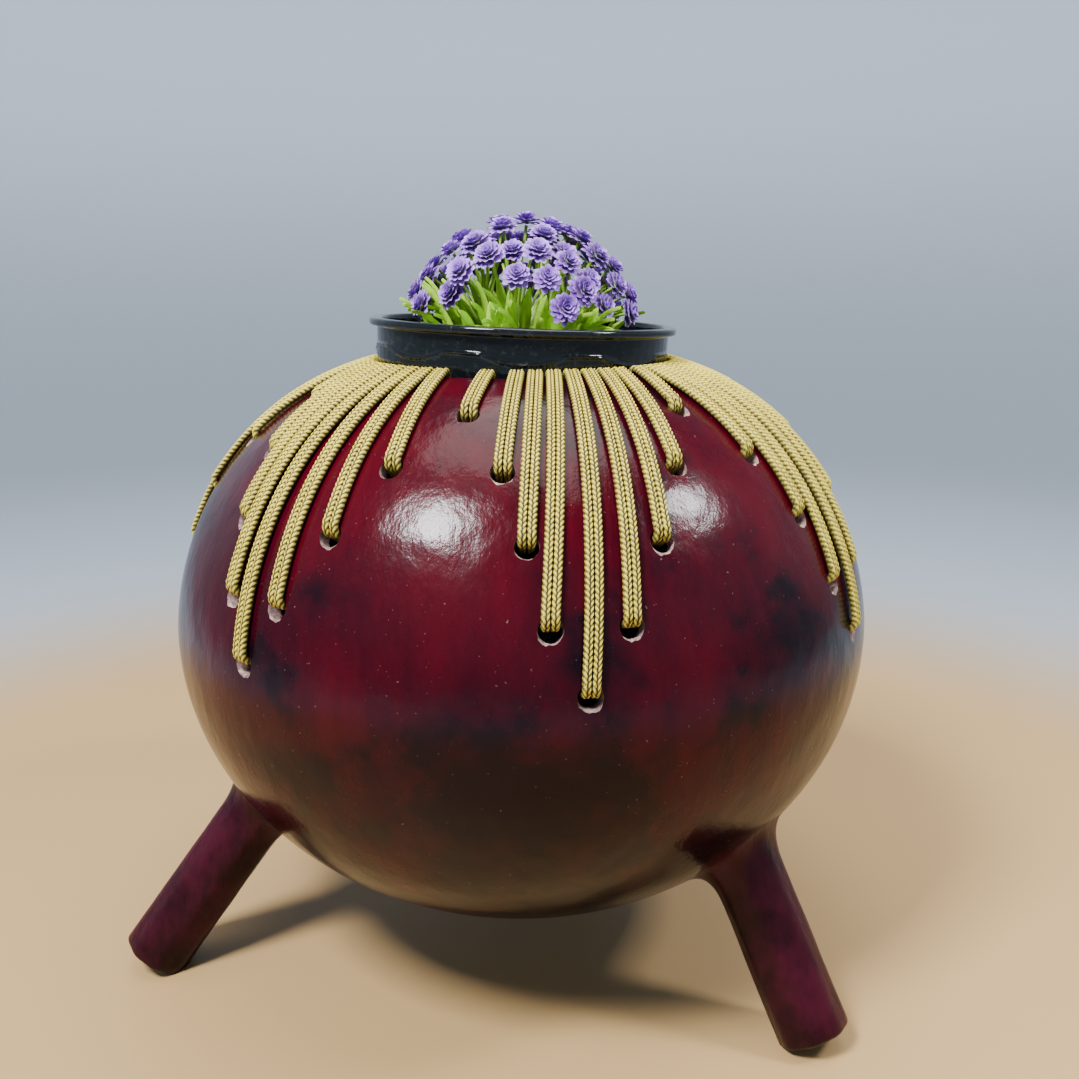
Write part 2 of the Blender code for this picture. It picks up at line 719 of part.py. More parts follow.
def make_head(frame, spin, collection):
    """A pompon in two tiers of pointed petals, the upper tier turned by half a petal."""
    rings = [[frame @ Vector((0.0, 0.0, HEAD_BOTTOM))]]
    for tip, notch, tip_z, notch_z in PETAL_TIERS:
        points = []
        for i in range(2 * PETALS):
            angle = spin + math.pi * i / PETALS
            share, height = (notch, notch_z) if i % 2 else (tip, tip_z)
            radius = share * HEAD_RADIUS
            points.append(frame @ Vector((radius * math.cos(angle), radius * math.sin(angle), height)))
        rings.append(points)
    rings.append([frame @ Vector((0.0, 0.0, HEAD_HEIGHT))])
    return skin("head", rings, collection)


def make_stem(name, points, radius, collection):
    """A round stem as a curve with capped ends, made into a mesh."""
    curve = bpy.data.curves.new(name, "CURVE")
    curve.dimensions = "3D"
    curve.bevel_depth = radius
    curve.bevel_resolution = 0
    curve.use_fill_caps = True
    spline = curve.splines.new("POLY")
    spline.points.add(len(points) - 1)
    for knot, point in zip(spline.points, points):
        knot.co = (point.x, point.y, point.z, 1.0)
    wire = add_object(name + "_wire", curve, collection)
    bpy.context.view_layer.update()
    graph = bpy.context.evaluated_depsgraph_get()
    mesh = bpy.data.meshes.new_from_object(wire.evaluated_get(graph))
    bpy.data.objects.remove(wire)
    mesh_maker = bmesh.new()
    mesh_maker.from_mesh(mesh)
    bmesh.ops.remove_doubles(mesh_maker, verts=mesh_maker.verts, dist=0.00001)
    bmesh.ops.recalc_face_normals(mesh_maker, faces=mesh_maker.faces)
    mesh_maker.to_mesh(mesh)
    mesh_maker.free()
    return add_object(name, mesh, collection)


def make_leaf(foot, azimuth, lift, length, collection):
    """A lance-shaped blade with a raised midrib, arching over towards its tip."""
    level = around(azimuth, 1.0, 0.0)
    side = sideways(azimuth)
    rings = []
    for share, breadth in LEAF_OUTLINE:
        angle = math.radians(lift - LEAF_ARCH_DEG * share)
        along = level * math.cos(angle) + Vector((0.0, 0.0, math.sin(angle)))
        above = side.cross(along) * -1.0
        middle = foot + length * share * along
        half = 0.5 * LEAF_WIDTH * breadth
        rib = 0.5 * LEAF_THICKNESS
        if breadth:
            above_rib, below_rib = middle + rib * above, middle - rib * above
            rings.append([middle - half * side, above_rib, middle + half * side, below_rib])
        else:
            rings.append([middle])
    return skin("leaf", rings, collection)


def make_spray(sector, planter):
    """One main stem with its heads on thin stems and its leaves, fused into one body."""
    middle = sector_middle_deg(sector)
    foot = around(middle, SPRAY_RADIUS, SPRAY_FOOT)
    fork = around(middle, SPRAY_RADIUS, SPRAY_FORK)
    mesh_maker = bmesh.new()
    place = Matrix.Translation(0.5 * (foot + fork))
    bmesh.ops.create_cone(mesh_maker, cap_ends=True, segments=6, radius1=MAIN_STEM_RADIUS,
                          radius2=MAIN_STEM_RADIUS, depth=SPRAY_FORK - SPRAY_FOOT, matrix=place)
    mesh = bpy.data.meshes.new("flower_spray")
    mesh_maker.to_mesh(mesh)
    mesh_maker.free()
    spray = add_object("flower_spray_%d" % (sector + 1), mesh, planter)
    sprigs = bpy.data.collections.new("sprigs_%d" % (sector + 1))
    bpy.context.scene.collection.children.link(sprigs)
    heads = [place for place in head_places() if sector_of(place[0]) == sector]
    for number, (azimuth, polar, depth) in enumerate(heads):
        frame = head_frame(azimuth, polar, depth)
        make_head(frame, HEAD_TURN * number, sprigs)
        root = fork - Vector((0.0, 0.0, FORK_SPACING * (0.5 + number)))
        make_stem("stem", [root, frame.translation], STEM_RADIUS, sprigs)
    for i, (turn, lift, length) in enumerate(LEAVES):
        base = around(middle, SPRAY_RADIUS, LEAF_FOOT + LEAF_SPACING * i)
        make_leaf(base, middle + turn, lift, length, sprigs)
    union = spray.modifiers.new("fuse", "BOOLEAN")
    union.operation = "UNION"
    union.operand_type = "COLLECTION"
    union.solver = "EXACT"
    union.collection = sprigs
    bake(spray)
    keep_largest_body(spray)
    for item in list(sprigs.objects):
        bpy.data.objects.remove(item, do_unlink=True)
    bpy.data.collections.remove(sprigs)
    return spray


def dress(piece, material, parent):
    """Bake the piece, give it its material and hang it on its parent."""
    bake(piece)
    piece.data.materials.clear()
    piece.data.materials.append(material)
    piece.parent = parent


def main():
    clear_scene()
    planter = new_collection("gourd_planter")
    cutters = new_collection("cutters")
    materials = {name: make_material(name) for name in FINISHES}
    stand = add_object("planter_axis", None, planter)
    stand.location = (AXIS_X, AXIS_Y, 0.0)
    pot_seat = add_object("pot_seat", None, planter)
    pot_seat.location = (0.0, 0.0, mouth_edges()[0].y)
    pot_seat.rotation_euler = (0.0, math.radians(POT_TILT_DEG), 0.0)
    pot_seat.parent = stand

    dress(make_shell(planter, cutters), materials["gourd"], stand)
    rims = rim_azimuths()
    for fan in range(FAN_COUNT):
        dress(make_lacing(fan, rims, planter), materials["braid"], stand)

    gourd_cutter = gourd_block("gourd_block", TOUCH_GAP, cutters)
    floor = make_floor_block(cutters)
    for name, azimuth, tilt, foot_radius in LEGS:
        leg, putty = make_leg(name, azimuth, tilt, foot_radius, planter, cutters, gourd_cutter, floor)
        dress(leg, materials["leg"], stand)
        dress(putty, materials["putty"], stand)

    dress(make_pot(planter), materials["pot"], pot_seat)
    dress(make_foam(planter, cutters), materials["foam"], pot_seat)
    for sector in range(SPRAY_COUNT):
        dress(make_spray(sector, planter), materials["flower"], pot_seat)

    for item in list(cutters.objects):
        bpy.data.objects.remove(item, do_unlink=True)


if __name__ == "__main__":
    main()
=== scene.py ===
"""Finish and fine shapes of a dried bottle gourd planter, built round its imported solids.

Lengths are in metres and +Z is up. An azimuth is in degrees from the front (-Y) towards the right (+X).
The rules for the holes, the lacing, the legs and the flower heads are those of the solids.
"""
import math
import random

import bmesh
import bpy
import numpy as np
from bpy.props import FloatProperty, FloatVectorProperty, IntProperty, PointerProperty
from mathutils import Matrix, Vector
from mathutils import noise as perlin


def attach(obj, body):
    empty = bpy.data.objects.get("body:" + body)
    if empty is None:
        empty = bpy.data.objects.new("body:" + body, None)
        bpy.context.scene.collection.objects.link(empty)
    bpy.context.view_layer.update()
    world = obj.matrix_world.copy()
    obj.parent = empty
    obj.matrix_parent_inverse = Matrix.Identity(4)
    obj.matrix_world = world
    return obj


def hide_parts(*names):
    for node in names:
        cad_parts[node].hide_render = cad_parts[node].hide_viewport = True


bl_info = {
    "name": "Dried gourd planter",
    "version": (1, 0, 0),
    "blender": (4, 5, 0),
    "location": "3D View > Sidebar > Gourd",
    "description": "Lacquered gourd shell with a laced rim, dowel legs, a plastic pot and artificial flowers",
    "category": "Add Mesh",
}

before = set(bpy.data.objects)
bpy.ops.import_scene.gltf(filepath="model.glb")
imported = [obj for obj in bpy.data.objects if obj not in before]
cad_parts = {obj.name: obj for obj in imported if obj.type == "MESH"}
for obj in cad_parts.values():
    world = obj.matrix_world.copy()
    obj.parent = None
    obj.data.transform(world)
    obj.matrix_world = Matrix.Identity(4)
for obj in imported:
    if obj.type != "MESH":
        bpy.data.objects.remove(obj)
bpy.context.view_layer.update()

# Gourd: a half ellipse below its widest ring and a flatter shoulder curve above it. The solid's ring is
# a polygon, so the true circle here is a touch smaller and stays inside the solid's box.
AXIS_X = 0.0107
AXIS_Y = -0.0076
GOURD_RADIUS = 0.1254
EQUATOR_Z = 0.128
LOWER_HEIGHT = 0.108
SHOULDER_HEIGHT = 0.097
SHOULDER_POWER = 1.8
SHOULDER_ROOT = 2.84
SHELL_WALL = 0.0048
MOUTH_RADIUS = 0.0553
RIM_ROUNDING = 0.0005
RIM_SHARES = (0.15, 0.5, 0.85)
SHELL_ROWS = 150
INSIDE_ROWS = 36
SHELL_SEGMENTS = 240
CURVE_STEPS = 1500
SLOPE_STEP = 0.00005
SKIN_TOLERANCE = 0.00006
POLE_SHARE = 0.985
GOURD_SEAT = Matrix.Translation((AXIS_X, AXIS_Y, 0.0))
GOURD_MIDDLE = Vector((0.0, 0.0, EQUATOR_Z))

# Drilled holes, in fans that repeat round the gourd
FAN_COUNT = 7
FAN_PITCH_DEG = 360.0 / FAN_COUNT
FIRST_HOLE_DEG = -11.3
HOLE_STEPS_DEG = (0.0, 8.8, 12.8, 15.8, 20.8, 26.8, 33.4, 40.6)
LEFT_STEPS_DEG = (-2.0, 6.6, 12.2, 16.6, 21.2, 26.8, 33.2, 40.0)
HOLE_LEVELS = (0, 1, 2, 3, 4, 3, 2, 1)
FAN_HOLES = len(HOLE_LEVELS)
LEVEL_HEIGHTS = (0.2105, 0.1965, 0.1780, 0.1565, 0.1380)
HOLE_RADIUS = 0.0036
HOLE_SEGMENTS = 30
CHIP_WIDTH = 0.00125
CHIP_SEED = 3
LEAST_CHIP = 0.08
HOLE_UNEVENNESS = 0.05
# Depth of each ring of a drill, and by how many chip widths it flares there
DRILL_RINGS = ((-0.010, 0.0), (-0.0008, 0.0), (0.0, 1.0), (0.0016, 3.0))

# Lacing
FAN_LEANS_DEG = (6.0, 7.0, 3.0, 0.0, -2.0, -3.5, -5.0)
RIM_PITCH_DEG = 6.1
CROWDING_ROUNDS = 400
RIM_WIDTH = 0.0050
BRAID_GAP = 0.0006
BRAID_IN_HOLE = 0.0006
HOLE_BEND = 0.0019
ROW_STEP = 0.00034
ARC_STEP_DEG = 8.0
RUN_START = 0.004
RUN_STEPS = 400
KNOT_WIDTH = 0.0068
KNOT_THICKNESS = 0.0050
KNOT_CLEARANCE = 0.0008
KNOT_SHOULDER = 0.0006
KNOT_LENGTH = 0.0046
KNOT_TAPER = 0.0008
KNOT_END = 0.65
TAIL_LENGTH = 0.014
TAIL_DROP_DEG = 78.0

# Plait: shares are of the braid's thickness, half its width or one stitch
TOP_POINTS = 17
BACK_POINTS = 5
RELIEF_HEIGHT = 0.00050
STITCH_SLANT = 1.05
STITCH_FULLNESS = 0.8
GROOVE_RELIEF = 0.22
EDGE_BULGE = 0.55
EDGE_RELIEF = 0.10
# The braid's back, which lies on the shell, takes this low relief tone, a painted shade.
BACK_RELIEF = 0.35
SIDE_RISE = 0.27
LOBE_RISE = 0.49
TOP_SPREAD = 0.97
BACK_SPREAD = 0.86
BACK_RISE = 0.04
SHADE_START = 0.0004
SHADE_REACH = 0.0030
DEEPEST_SHADE = 0.85

# Legs: name, azimuth, tilt from vertical, radius of the foot's centre
LEGS = (
    ("left", -75.0, 37.0, 0.1420),
    ("right", 49.5, 29.0, 0.1294),
    ("back", 167.5, 33.0, 0.1350),
)
LEG_RADIUS = 0.0125
FOOT_CENTRE_Z = 0.0038
FOOT_ROUNDING = 0.0014
# Height of each ring of a rounded foot, and how far it is drawn in
FOOT_RINGS = (
    (0.0, FOOT_ROUNDING),
    (0.0003, 0.6 * FOOT_ROUNDING),
    (0.0007, 0.25 * FOOT_ROUNDING),
    (0.0014, 0.0),
)
LEG_SEGMENTS = 64
LEG_ROWS = 26
LEG_SINK = 0.0004
LEG_WAVINESS = 0.00018
LEG_REACH = 0.11
LEG_SEED_STEP = 1.7
FLATS = 8.0
WHITTLE = 0.00022
DOWEL_TRIM = 0.0005
# Reach of the painted reflection and shade of a leg on the shell
LEG_REFLECTION_REACH = 0.013
PUTTY_BELOW = 0.012
PUTTY_REACH = 0.0085
PUTTY_ROWS = 12
PUTTY_ON_LEG = 0.00005
PUTTY_LUMPS = (0.22, 0.30)
PUTTY_FILM = 0.0004
PUTTY_EDGE_SINK = 0.0002
PUTTY_ROOT = 0.0010
PUTTY_INSET = 0.0006
PUTTY_SEAM = 0.000001

# Plastic pot, measured from the plane of the gourd's mouth
POT_TILT_DEG = 2.2
POT_SEGMENTS = 192
POT_WALL = 0.0014
POT_LIP_TOP = 0.0155
POT_LIP_RADIUS = 0.0548
POT_LIP_UNDER = POT_LIP_TOP - 0.0027
POT_LIP_ROLL = 0.0009
POT_INSIDE_TOP = POT_LIP_TOP - 0.002
POT_BAND_RADIUS = 0.0521
POT_BAND_TOP = POT_LIP_UNDER - 0.0006
POT_BAND_ROWS = 56
POT_MOUTH_RADIUS = 0.0516
POT_BAND_BOTTOM = -0.003
POT_SHOULDER_Z = POT_BAND_BOTTOM - 0.0015
POT_STEP = 0.0008
POT_FLOOR_RADIUS = 0.0415
POT_BOTTOM = -0.072
POT_FLOOR_ROUNDING = 0.001
CURVE_POINTS = 8
# Radius of each corner under the lip, and its height from the lip's underside
LIP_CORNERS = (
    (POT_LIP_RADIUS, 0.0005),
    (POT_LIP_RADIUS - 0.0003, 0.0001),
    (POT_BAND_RADIUS + 0.0006, 0.0),
    (POT_BAND_RADIUS + 0.0001, -0.0003),
)
SCALLOP_PITCH_DEG = 360.0 / 8
SCALLOP_SHARE = 0.66
SCALLOP_DIP = 0.0030
SCALLOP_Z = 0.0068
SCALLOP_TURN_DEG = 14.0
SCALLOP_RELIEF = 0.00070
SCALLOP_LINE = 0.0005
SCALLOP_BEAD = 0.7
SCALLOP_LEDGE = 0.6
MOULD_TOP = POT_LIP_UNDER - 0.0005
MOULD_BOTTOM = POT_BAND_BOTTOM + 0.001
MOULD_TOP_FADE = 0.0008
MOULD_BOTTOM_FADE = 0.003
RIB_RELIEF = 0.00007
FOAM_TOP = 0.006
FOAM_BOTTOM = POT_BOTTOM + POT_WALL + 0.0003
FOAM_GAP = 0.0012
FOAM_SEGMENTS = 96
FOAM_RINGS = 30
FOAM_EDGE = 0.0006
FOAM_EDGE_DROP = 0.0008
CRUMB_DEPTH = 0.0009
CRUMB_SINK = 0.0006
CRUMB_WAVES = 260.0

# Artificial flowers, in the pot's own frame
SPRAY_COUNT = 7
SPRAY_RADIUS = 0.016
SPRAY_FORK = 0.020
SPRAY_FOOT = -0.018
FORK_SPACING = 0.0012
TRUNK_ROWS = 6
TRUNK_SIDES = 10
MAIN_STEM_RADIUS = 0.0017
STEM_RADIUS = 0.00075
STEM_TAPER = 0.0002
STEM_ROWS = 8
CROWN_RADIUS = 0.0011
CROWN_HEIGHT = 0.0008
STEM_PULL = 0.010
HEAD_COUNT = 68
HEAD_MODELS = 4
HEAD_SIZES = (0.98, 1.08)
HEAD_SWING_DEG = 3.0
HEAD_UNEVENNESS = 0.0012
HEAD_SINK = 0.0011
DEEP_EVERY = 3
DEEP_HEAD = 0.0045
DOME_CENTRE = 0.0115
DOME_RADIUS = 0.040
DOME_HEIGHT = 0.0388
DOME_EDGE_DEG = 78.0
BARE_WINDOW_DEG = (-42.0, 6.0)
BARE_POLAR_DEG = 60.0
FLOWER_SEED = 7
SECTOR_START_DEG = 8.0
# Petals in a tier, then their length, width, tilt from level, and root's radius and height
PETAL_TIERS = (
    (12, 0.0046, 0.0025, -10.0, 0.0007, 0.0006),
    (12, 0.0043, 0.0024, 12.0, 0.0006, 0.0010),
    (10, 0.0037, 0.0022, 32.0, 0.0006, 0.0014),
    (9, 0.0030, 0.0019, 50.0, 0.0005, 0.0017),
    (6, 0.0023, 0.0016, 67.0, 0.0004, 0.0018),
    (3, 0.0016, 0.0013, 82.0, 0.0002, 0.0019),
)
# Share of a petal's length, and of its width there
PETAL_OUTLINE = ((0.0, 0.35), (0.3, 0.78), (0.6, 1.0), (0.85, 0.82), (1.0, 0.12))
PETAL_THICKNESS = 0.00022
PETAL_CUP = 0.20
PETAL_CURL = 0.10
PETAL_SWING = 0.2
PETAL_STRETCH = (0.90, 1.06)
PETAL_LEAN_DEG = 7.0
# Painted shade: a petal's underside gets only this share of its lightening towards the tip.
PETAL_UNDERSIDE_SHADE = 0.35
# Turns each tier by this much for a metre of its petals, so that the tiers don't line up
TIER_TURN = 900.0
# Turn from the spray's own direction, lift from level, and length of each leaf of the solids
LEAVES = (
    (-21.0, 26.0, 0.024),
    (-6.0, 56.0, 0.020),
    (9.0, 36.0, 0.026),
    (22.0, 50.0, 0.021),
)
LEAF_FOOT = 0.0075
LEAF_SPACING = 0.0010
LEAF_WIDTH = 0.0052
LEAF_ARCH_DEG = 26.0
LEAF_STEPS = 10
LEAF_CUP = 0.22
LEAF_WAVE = 0.0003
# Share of its half width and height of each point of a leaf's cross-section, above and below
LEAF_UPPER = ((-0.45, 0.0002), (0.0, -0.0002), (0.45, 0.0002))
LEAF_LOWER = ((0.45, -0.0003), (0.0, -0.0008), (-0.45, -0.0003))
# How much of the midrib's colour each point has, from one edge over the top and back underneath
LEAF_RIB_SHARES = (0.0, 0.45, 1.0, 0.45, 0.0, 0.2, 0.8, 0.2)
LEAF_RIB = 0.55
# More leaves, with the least and the most of each measure
EXTRA_LEAVES = 13
WINDOW_LEAVES = 18
WINDOW_REACH_DEG = 62.0
WINDOW_STRETCH = 0.003
LEAF_REACH = 0.0475
LEAF_SLIMNESS = 0.25
EXTRA_FOOT = 0.0068
EXTRA_RADII = (-0.008, 0.014)
EXTRA_PLACES_DEG = (-20.0, 20.0)
EXTRA_LIFTS_DEG = (24.0, 80.0)
EXTRA_LENGTHS = (0.014, 0.024)
EXTRA_WIDTHS = (0.0034, 0.0056)
EXTRA_TURNS_DEG = (-34.0, 34.0)

# Studio
LENS_MM = 38.94
SENSOR_MM = 36.0
CAMERA_PLACE = (0.0171, -0.4343, 0.2536)
CAMERA_PITCH_DEG = 13.1
COVE_RADIUS = 1.9
COVE_BEND = 0.7
COVE_HEIGHT = 2.8
COVE_SEGMENTS = 128
LIGHT_TARGET = Vector((0.01, -0.05, 0.16))
COOL_WHITE = (0.95, 0.97, 1.0)
WARM_WHITE = (1.0, 0.98, 0.95)
ROOM_COLOUR = (0.80, 0.88, 1.0, 1.0)
# Name, setting of its power, azimuth, elevation, distance, size and colour of each light
LIGHTS = (
    ("left_softbox", "left_power", -39.0, 51.0, 1.05, 0.26, COOL_WHITE),
    ("right_softbox", "right_power", 79.0, 44.0, 0.95, 0.17, COOL_WHITE),
    ("overhead", "top_power", 150.0, 82.0, 1.5, 1.2, WARM_WHITE),
)


def colour_property(name, default, description):
    return FloatVectorProperty(name=name, description=description, default=default, size=3,
                               subtype="COLOR", min=0.0, max=1.0)


def number_property(name, default, description, unit="NONE"):
    return FloatProperty(name=name, description=description, default=default, min=0.0, unit=unit)


class GourdSettings(bpy.types.PropertyGroup):
    """Finish of the shell and its legs."""
    # Crimson also carries the painted light towards the top, and shade the painted shade towards the front,
    # the bottom and the right.
    crimson: colour_property("Crimson", (0.044, 0.0007, 0.0040), "Stain where it is brightest")
    wine: colour_property("Wine", (0.0185, 0.0005, 0.0032), "Stain between the brightest and the darkest")
    shade: colour_property("Shade", (0.0045, 0.0007, 0.0026), "Stain in the dark blotches")
    flesh: colour_property("Bare wall", (0.42, 0.27, 0.24), "Shell wall where it is chipped or not stained")
    paint: colour_property("Leg paint", (0.023, 0.0014, 0.0056), "Paint on the legs and their putty")
    gloss: number_property("Roughness", 0.19, "Roughness of the lacquer")


class LacingSettings(bpy.types.PropertyGroup):
    """The flat braid."""
    width: number_property("Width", 0.0054, "Width of the flat braid", "LENGTH")
    thickness: number_property("Thickness", 0.0024, "Thickness of the braid", "LENGTH")
    stitch: number_property("Stitch", 0.0017, "Length of one plait stitch", "LENGTH")
    gold: colour_property("Gold", (0.72, 0.57, 0.060), "Yarn on top of a stitch")
    # Painted shade down between the stitches
    groove_shade: colour_property("Khaki", (0.030, 0.021, 0.002), "Yarn down between the stitches")


class PotSettings(bpy.types.PropertyGroup):
    """The plastic pot and its filling."""
    plastic: colour_property("Plastic", (0.0035, 0.0048, 0.0055), "Black plastic")
    foam: colour_property("Foam", (0.060, 0.095, 0.030), "Filling that the stems stand in")
    ribs: IntProperty(name="Ribs", description="Faint upright ribs round the pot", default=72, min=0)


class FlowerSettings(bpy.types.PropertyGroup):
    """The artificial flowers."""
    tip: colour_property("Petal tip", (0.36, 0.18, 0.64), "Edge of a petal")
    violet: colour_property("Petal", (0.175, 0.050, 0.37), "Middle of a petal")
    # Deep is also the painted shade on a petal's underside.
    deep: colour_property("Petal foot", (0.038, 0.010, 0.10), "Foot and underside of a petal")
    leaf: colour_property("Leaf", (0.30, 0.48, 0.030), "Leaf blade")
    stem: colour_property("Stem", (0.13, 0.27, 0.025), "Stem and midrib")


class StudioSettings(bpy.types.PropertyGroup):
    """Floor, lights and backdrop."""
    table: colour_property("Floor", (0.36, 0.225, 0.093), "Pale floor")
    wall: colour_property("Backdrop", (0.58, 0.66, 0.76), "Pale backdrop")
    left_power: number_property("Left light", 36.0, "Power of the left light", "POWER")
    right_power: number_property("Right light", 10.0, "Power of the right light", "POWER")
    top_power: number_property("Top light", 34.0, "Power of the overhead light", "POWER")
    room: number_property("Room light", 0.115, "Brightness of the light from all round")


SETTINGS = (
    ("gourd", GourdSettings),
    ("lacing", LacingSettings),
    ("pot", PotSettings),
    ("flowers", FlowerSettings),
    ("studio", StudioSettings),
)


def settings():
    return bpy.context.scene.gourd_planter


class Wire:
    """An output socket that takes arithmetic. Each operation adds its Math node."""

    def __init__(self, graph, socket):
        self.graph = graph
        self.socket = socket

    def __add__(self, other):
        return self.graph.math("ADD", self, other)

    def __sub__(self, other):
        return self.graph.math("SUBTRACT", self, other)

    def __mul__(self, other):
        return self.graph.math("MULTIPLY", self, other)

    def __rsub__(self, other):
        return self.graph.math("SUBTRACT", other, self)

    __radd__ = __add__
    __rmul__ = __mul__

    def step(self, low, high):
        """Rise smoothly from 0 at low to 1 at high."""
        sockets = {"Value": self, "From Min": low, "From Max": high}
        return self.graph.add("ShaderNodeMapRange", {"interpolation_type": "SMOOTHSTEP"}, sockets)


class Graph:
    """A material whose nodes are added one call at a time."""

    def __init__(self, name, **constants):
        self.material = bpy.data.materials.new(name)
        self.material.use_nodes = True
        self.tree = self.material.node_tree
        self.shader = self.tree.nodes["Principled BSDF"]
        self.feed(self.shader, constants)

    def feed(self, node, sockets):
        for key, value in sockets.items():
            socket = node.inputs[key.replace("_", " ") if isinstance(key, str) else key]
            if isinstance(value, Wire):
                self.tree.links.new(value.socket, socket)
            else:
                filled = tuple(value) + (1.0,) if socket.type == "RGBA" and len(value) == 3 else value
                socket.default_value = filled

    def add(self, kind, options, sockets, output=0):
        """Add a node, set it up, fill its sockets and return one output."""
        node = self.tree.nodes.new(kind)
        for key, value in options.items():
            if key == "stops":
                while len(node.color_ramp.elements) < len(value):
                    node.color_ramp.elements.new(0.5)
                for stop, (place, colour) in zip(node.color_ramp.elements, value):
                    stop.position = place
                    stop.color = tuple(colour) + (1.0,)
            else:
                setattr(node, key, value)
        self.feed(node, sockets)
        return Wire(self, node.outputs[output])

    def finish(self, relief, depth, **sockets):
        """Feed the shader, with relief of a depth in metres, and return the material."""
        bump = self.add("ShaderNodeBump", {}, {"Height": relief, "Distance": depth})
        self.feed(self.shader, dict(sockets, Normal=bump))
        return self.material

    def math(self, operation, first, second):
        return self.add("ShaderNodeMath", {"operation": operation}, {0: first, 1: second})

    def vector(self, operation, first, second, output=0):
        return self.add("ShaderNodeVectorMath", {"operation": operation}, {0: first, 1: second}, output)

    def place(self):
        """Where a point of the surface is, in metres."""
        return self.add("ShaderNodeTexCoord", {}, {}, "Object")

    def height(self, vector):
        return self.add("ShaderNodeSeparateXYZ", {}, {"Vector": vector}, 2)

    def stretched(self, vector, share):
        """Scale the height: a share below 1 draws the noise out upwards, and one above 1 flattens it."""
        return self.vector("MULTIPLY", vector, (1.0, 1.0, share))

    def grain(self, vector, waves, detail, roughness):
        """Noise from 0 to 1, with so many waves to a metre."""
        sockets = {"Vector": vector, "Scale": waves, "Detail": detail, "Roughness": roughness}
        return self.add("ShaderNodeTexNoise", {}, sockets)

    def named(self, name):
        """A value that the mesh stores at its points."""
        return self.add("ShaderNodeAttribute", {"attribute_name": name}, {}, "Fac")

    def ramp(self, share, *stops):
        return self.add("ShaderNodeValToRGB", {"stops": stops}, {"Fac": share})

    def mix(self, share, first, second):
        return self.add("ShaderNodeMix", {"data_type": "RGBA"}, {0: share, 6: first, 7: second}, 2)


def scaled(colour, share):
    return [share * part for part in colour]


def lacquer_material():
    """Burgundy stain in blotches under a glossy, faintly wrinkled lacquer, with painted shade towards the
    front, the bottom and the right, a painted light towards the top, and painted reflection and shade of the
    legs near their tops.
    """
    look = settings().gourd
    graph = Graph("lacquered_gourd", IOR=1.25)
    place = graph.place()
    blotches = graph.grain(place, 15.0, 4.0, 0.6)
    mottle = graph.grain(place, 60.0, 4.0, 0.65)
    streaks = graph.grain(graph.stretched(place, 0.16), 95.0, 3.0, 0.6)
    from_middle = graph.vector("SUBTRACT", place, (AXIS_X, AXIS_Y, EQUATOR_Z))
    # Painted shade: the stain darkens towards the front, the bottom and the right.
    painted_shade_front_below = graph.vector("DOT_PRODUCT", from_middle, (1.8, -5.0, -4.6), 1)
    uneven = (blotches - 0.5) * 2.6 + (mottle - 0.5) * 1.1
    # Real dark blotches of stain, with the painted shade added.
    dark = (painted_shade_front_below * 0.55 + uneven).step(0.10, 0.66)
    # Painted light: the stain brightens towards the top.
    upper = graph.height(place).step(0.12, 0.21)
    top_light_and_blotches = upper * 0.35 + (0.5 - blotches) * 2.2
    bright = (top_light_and_blotches + (streaks - 0.5) * 1.1 + (mottle - 0.5) * 0.8).step(-0.15, 0.75)
    colour = graph.mix(dark, look.wine, look.shade)
    colour = graph.mix(bright * (1.0 - dark), colour, look.crimson)
    # Painted reflection and shade of each leg: the stain turns to the leg paint's colour near the leg's top.
    colour = graph.mix(graph.named("near_leg").step(0.15, 0.85), colour, scaled(look.paint, 0.7))
    specks = graph.grain(place, 900.0, 2.0, 0.5).step(0.735, 0.76)
    colour = graph.mix(specks * 0.16, colour, (0.45, 0.33, 0.32))
    swell = graph.grain(place, 34.0, 2.0, 0.5)
    ripples = graph.grain(graph.stretched(place, 0.55), 170.0, 4.0, 0.62)
    scratches = graph.grain(graph.stretched(place, 0.08), 900.0, 2.0, 0.7)
    relief = swell + ripples * 0.22 + scratches * 0.035 + specks * 0.02
    rough = look.gloss + mottle * 0.10 - 0.05 + specks * 0.3
    return graph.finish(relief, 0.0011, Base_Color=colour, Roughness=rough)


def bare_wall_material():
    """Shell wall where it is sawn, drilled or chipped."""
    look = settings().gourd
    graph = Graph("bare_gourd_wall", Specular_IOR_Level=0.3, Roughness=0.78)
    place = graph.place()
    fibre = graph.grain(place, 700.0, 4.0, 0.7)
    stain = graph.grain(place, 240.0, 3.0, 0.6).step(0.35, 0.68)
    pale = graph.mix(fibre.step(0.3, 0.7), scaled(look.flesh, 0.30), look.flesh)
    return graph.finish(fibre, 0.0004, Base_Color=graph.mix(stain * 0.55, pale, look.wine))


def paint_material(name, gloss):
    """Brushed maroon paint over wood or putty, with painted shade that darkens it down at the foot."""
    look = settings().gourd
    graph = Graph(name, Specular_IOR_Level=0.14)
    place = graph.place()
    patches = graph.grain(place, 42.0, 4.0, 0.6)
    brush = graph.grain(graph.stretched(place, 0.3), 420.0, 3.0, 0.65)
    share = (patches + brush * 0.3).step(0.42, 0.85)
    colour = graph.mix(share, scaled(look.paint, 0.30), scaled(look.paint, 1.5))
    # Painted shade: the paint darkens towards the floor at the foot.
    foot = 1.0 - graph.height(place).step(0.0005, 0.006)
    colour = graph.mix(foot * 0.35, colour, (0.012, 0.003, 0.004))
    rough = gloss + patches * 0.16 - 0.08
    return graph.finish(patches * 0.6 + brush * 0.35, 0.0008, Base_Color=colour, Roughness=rough)


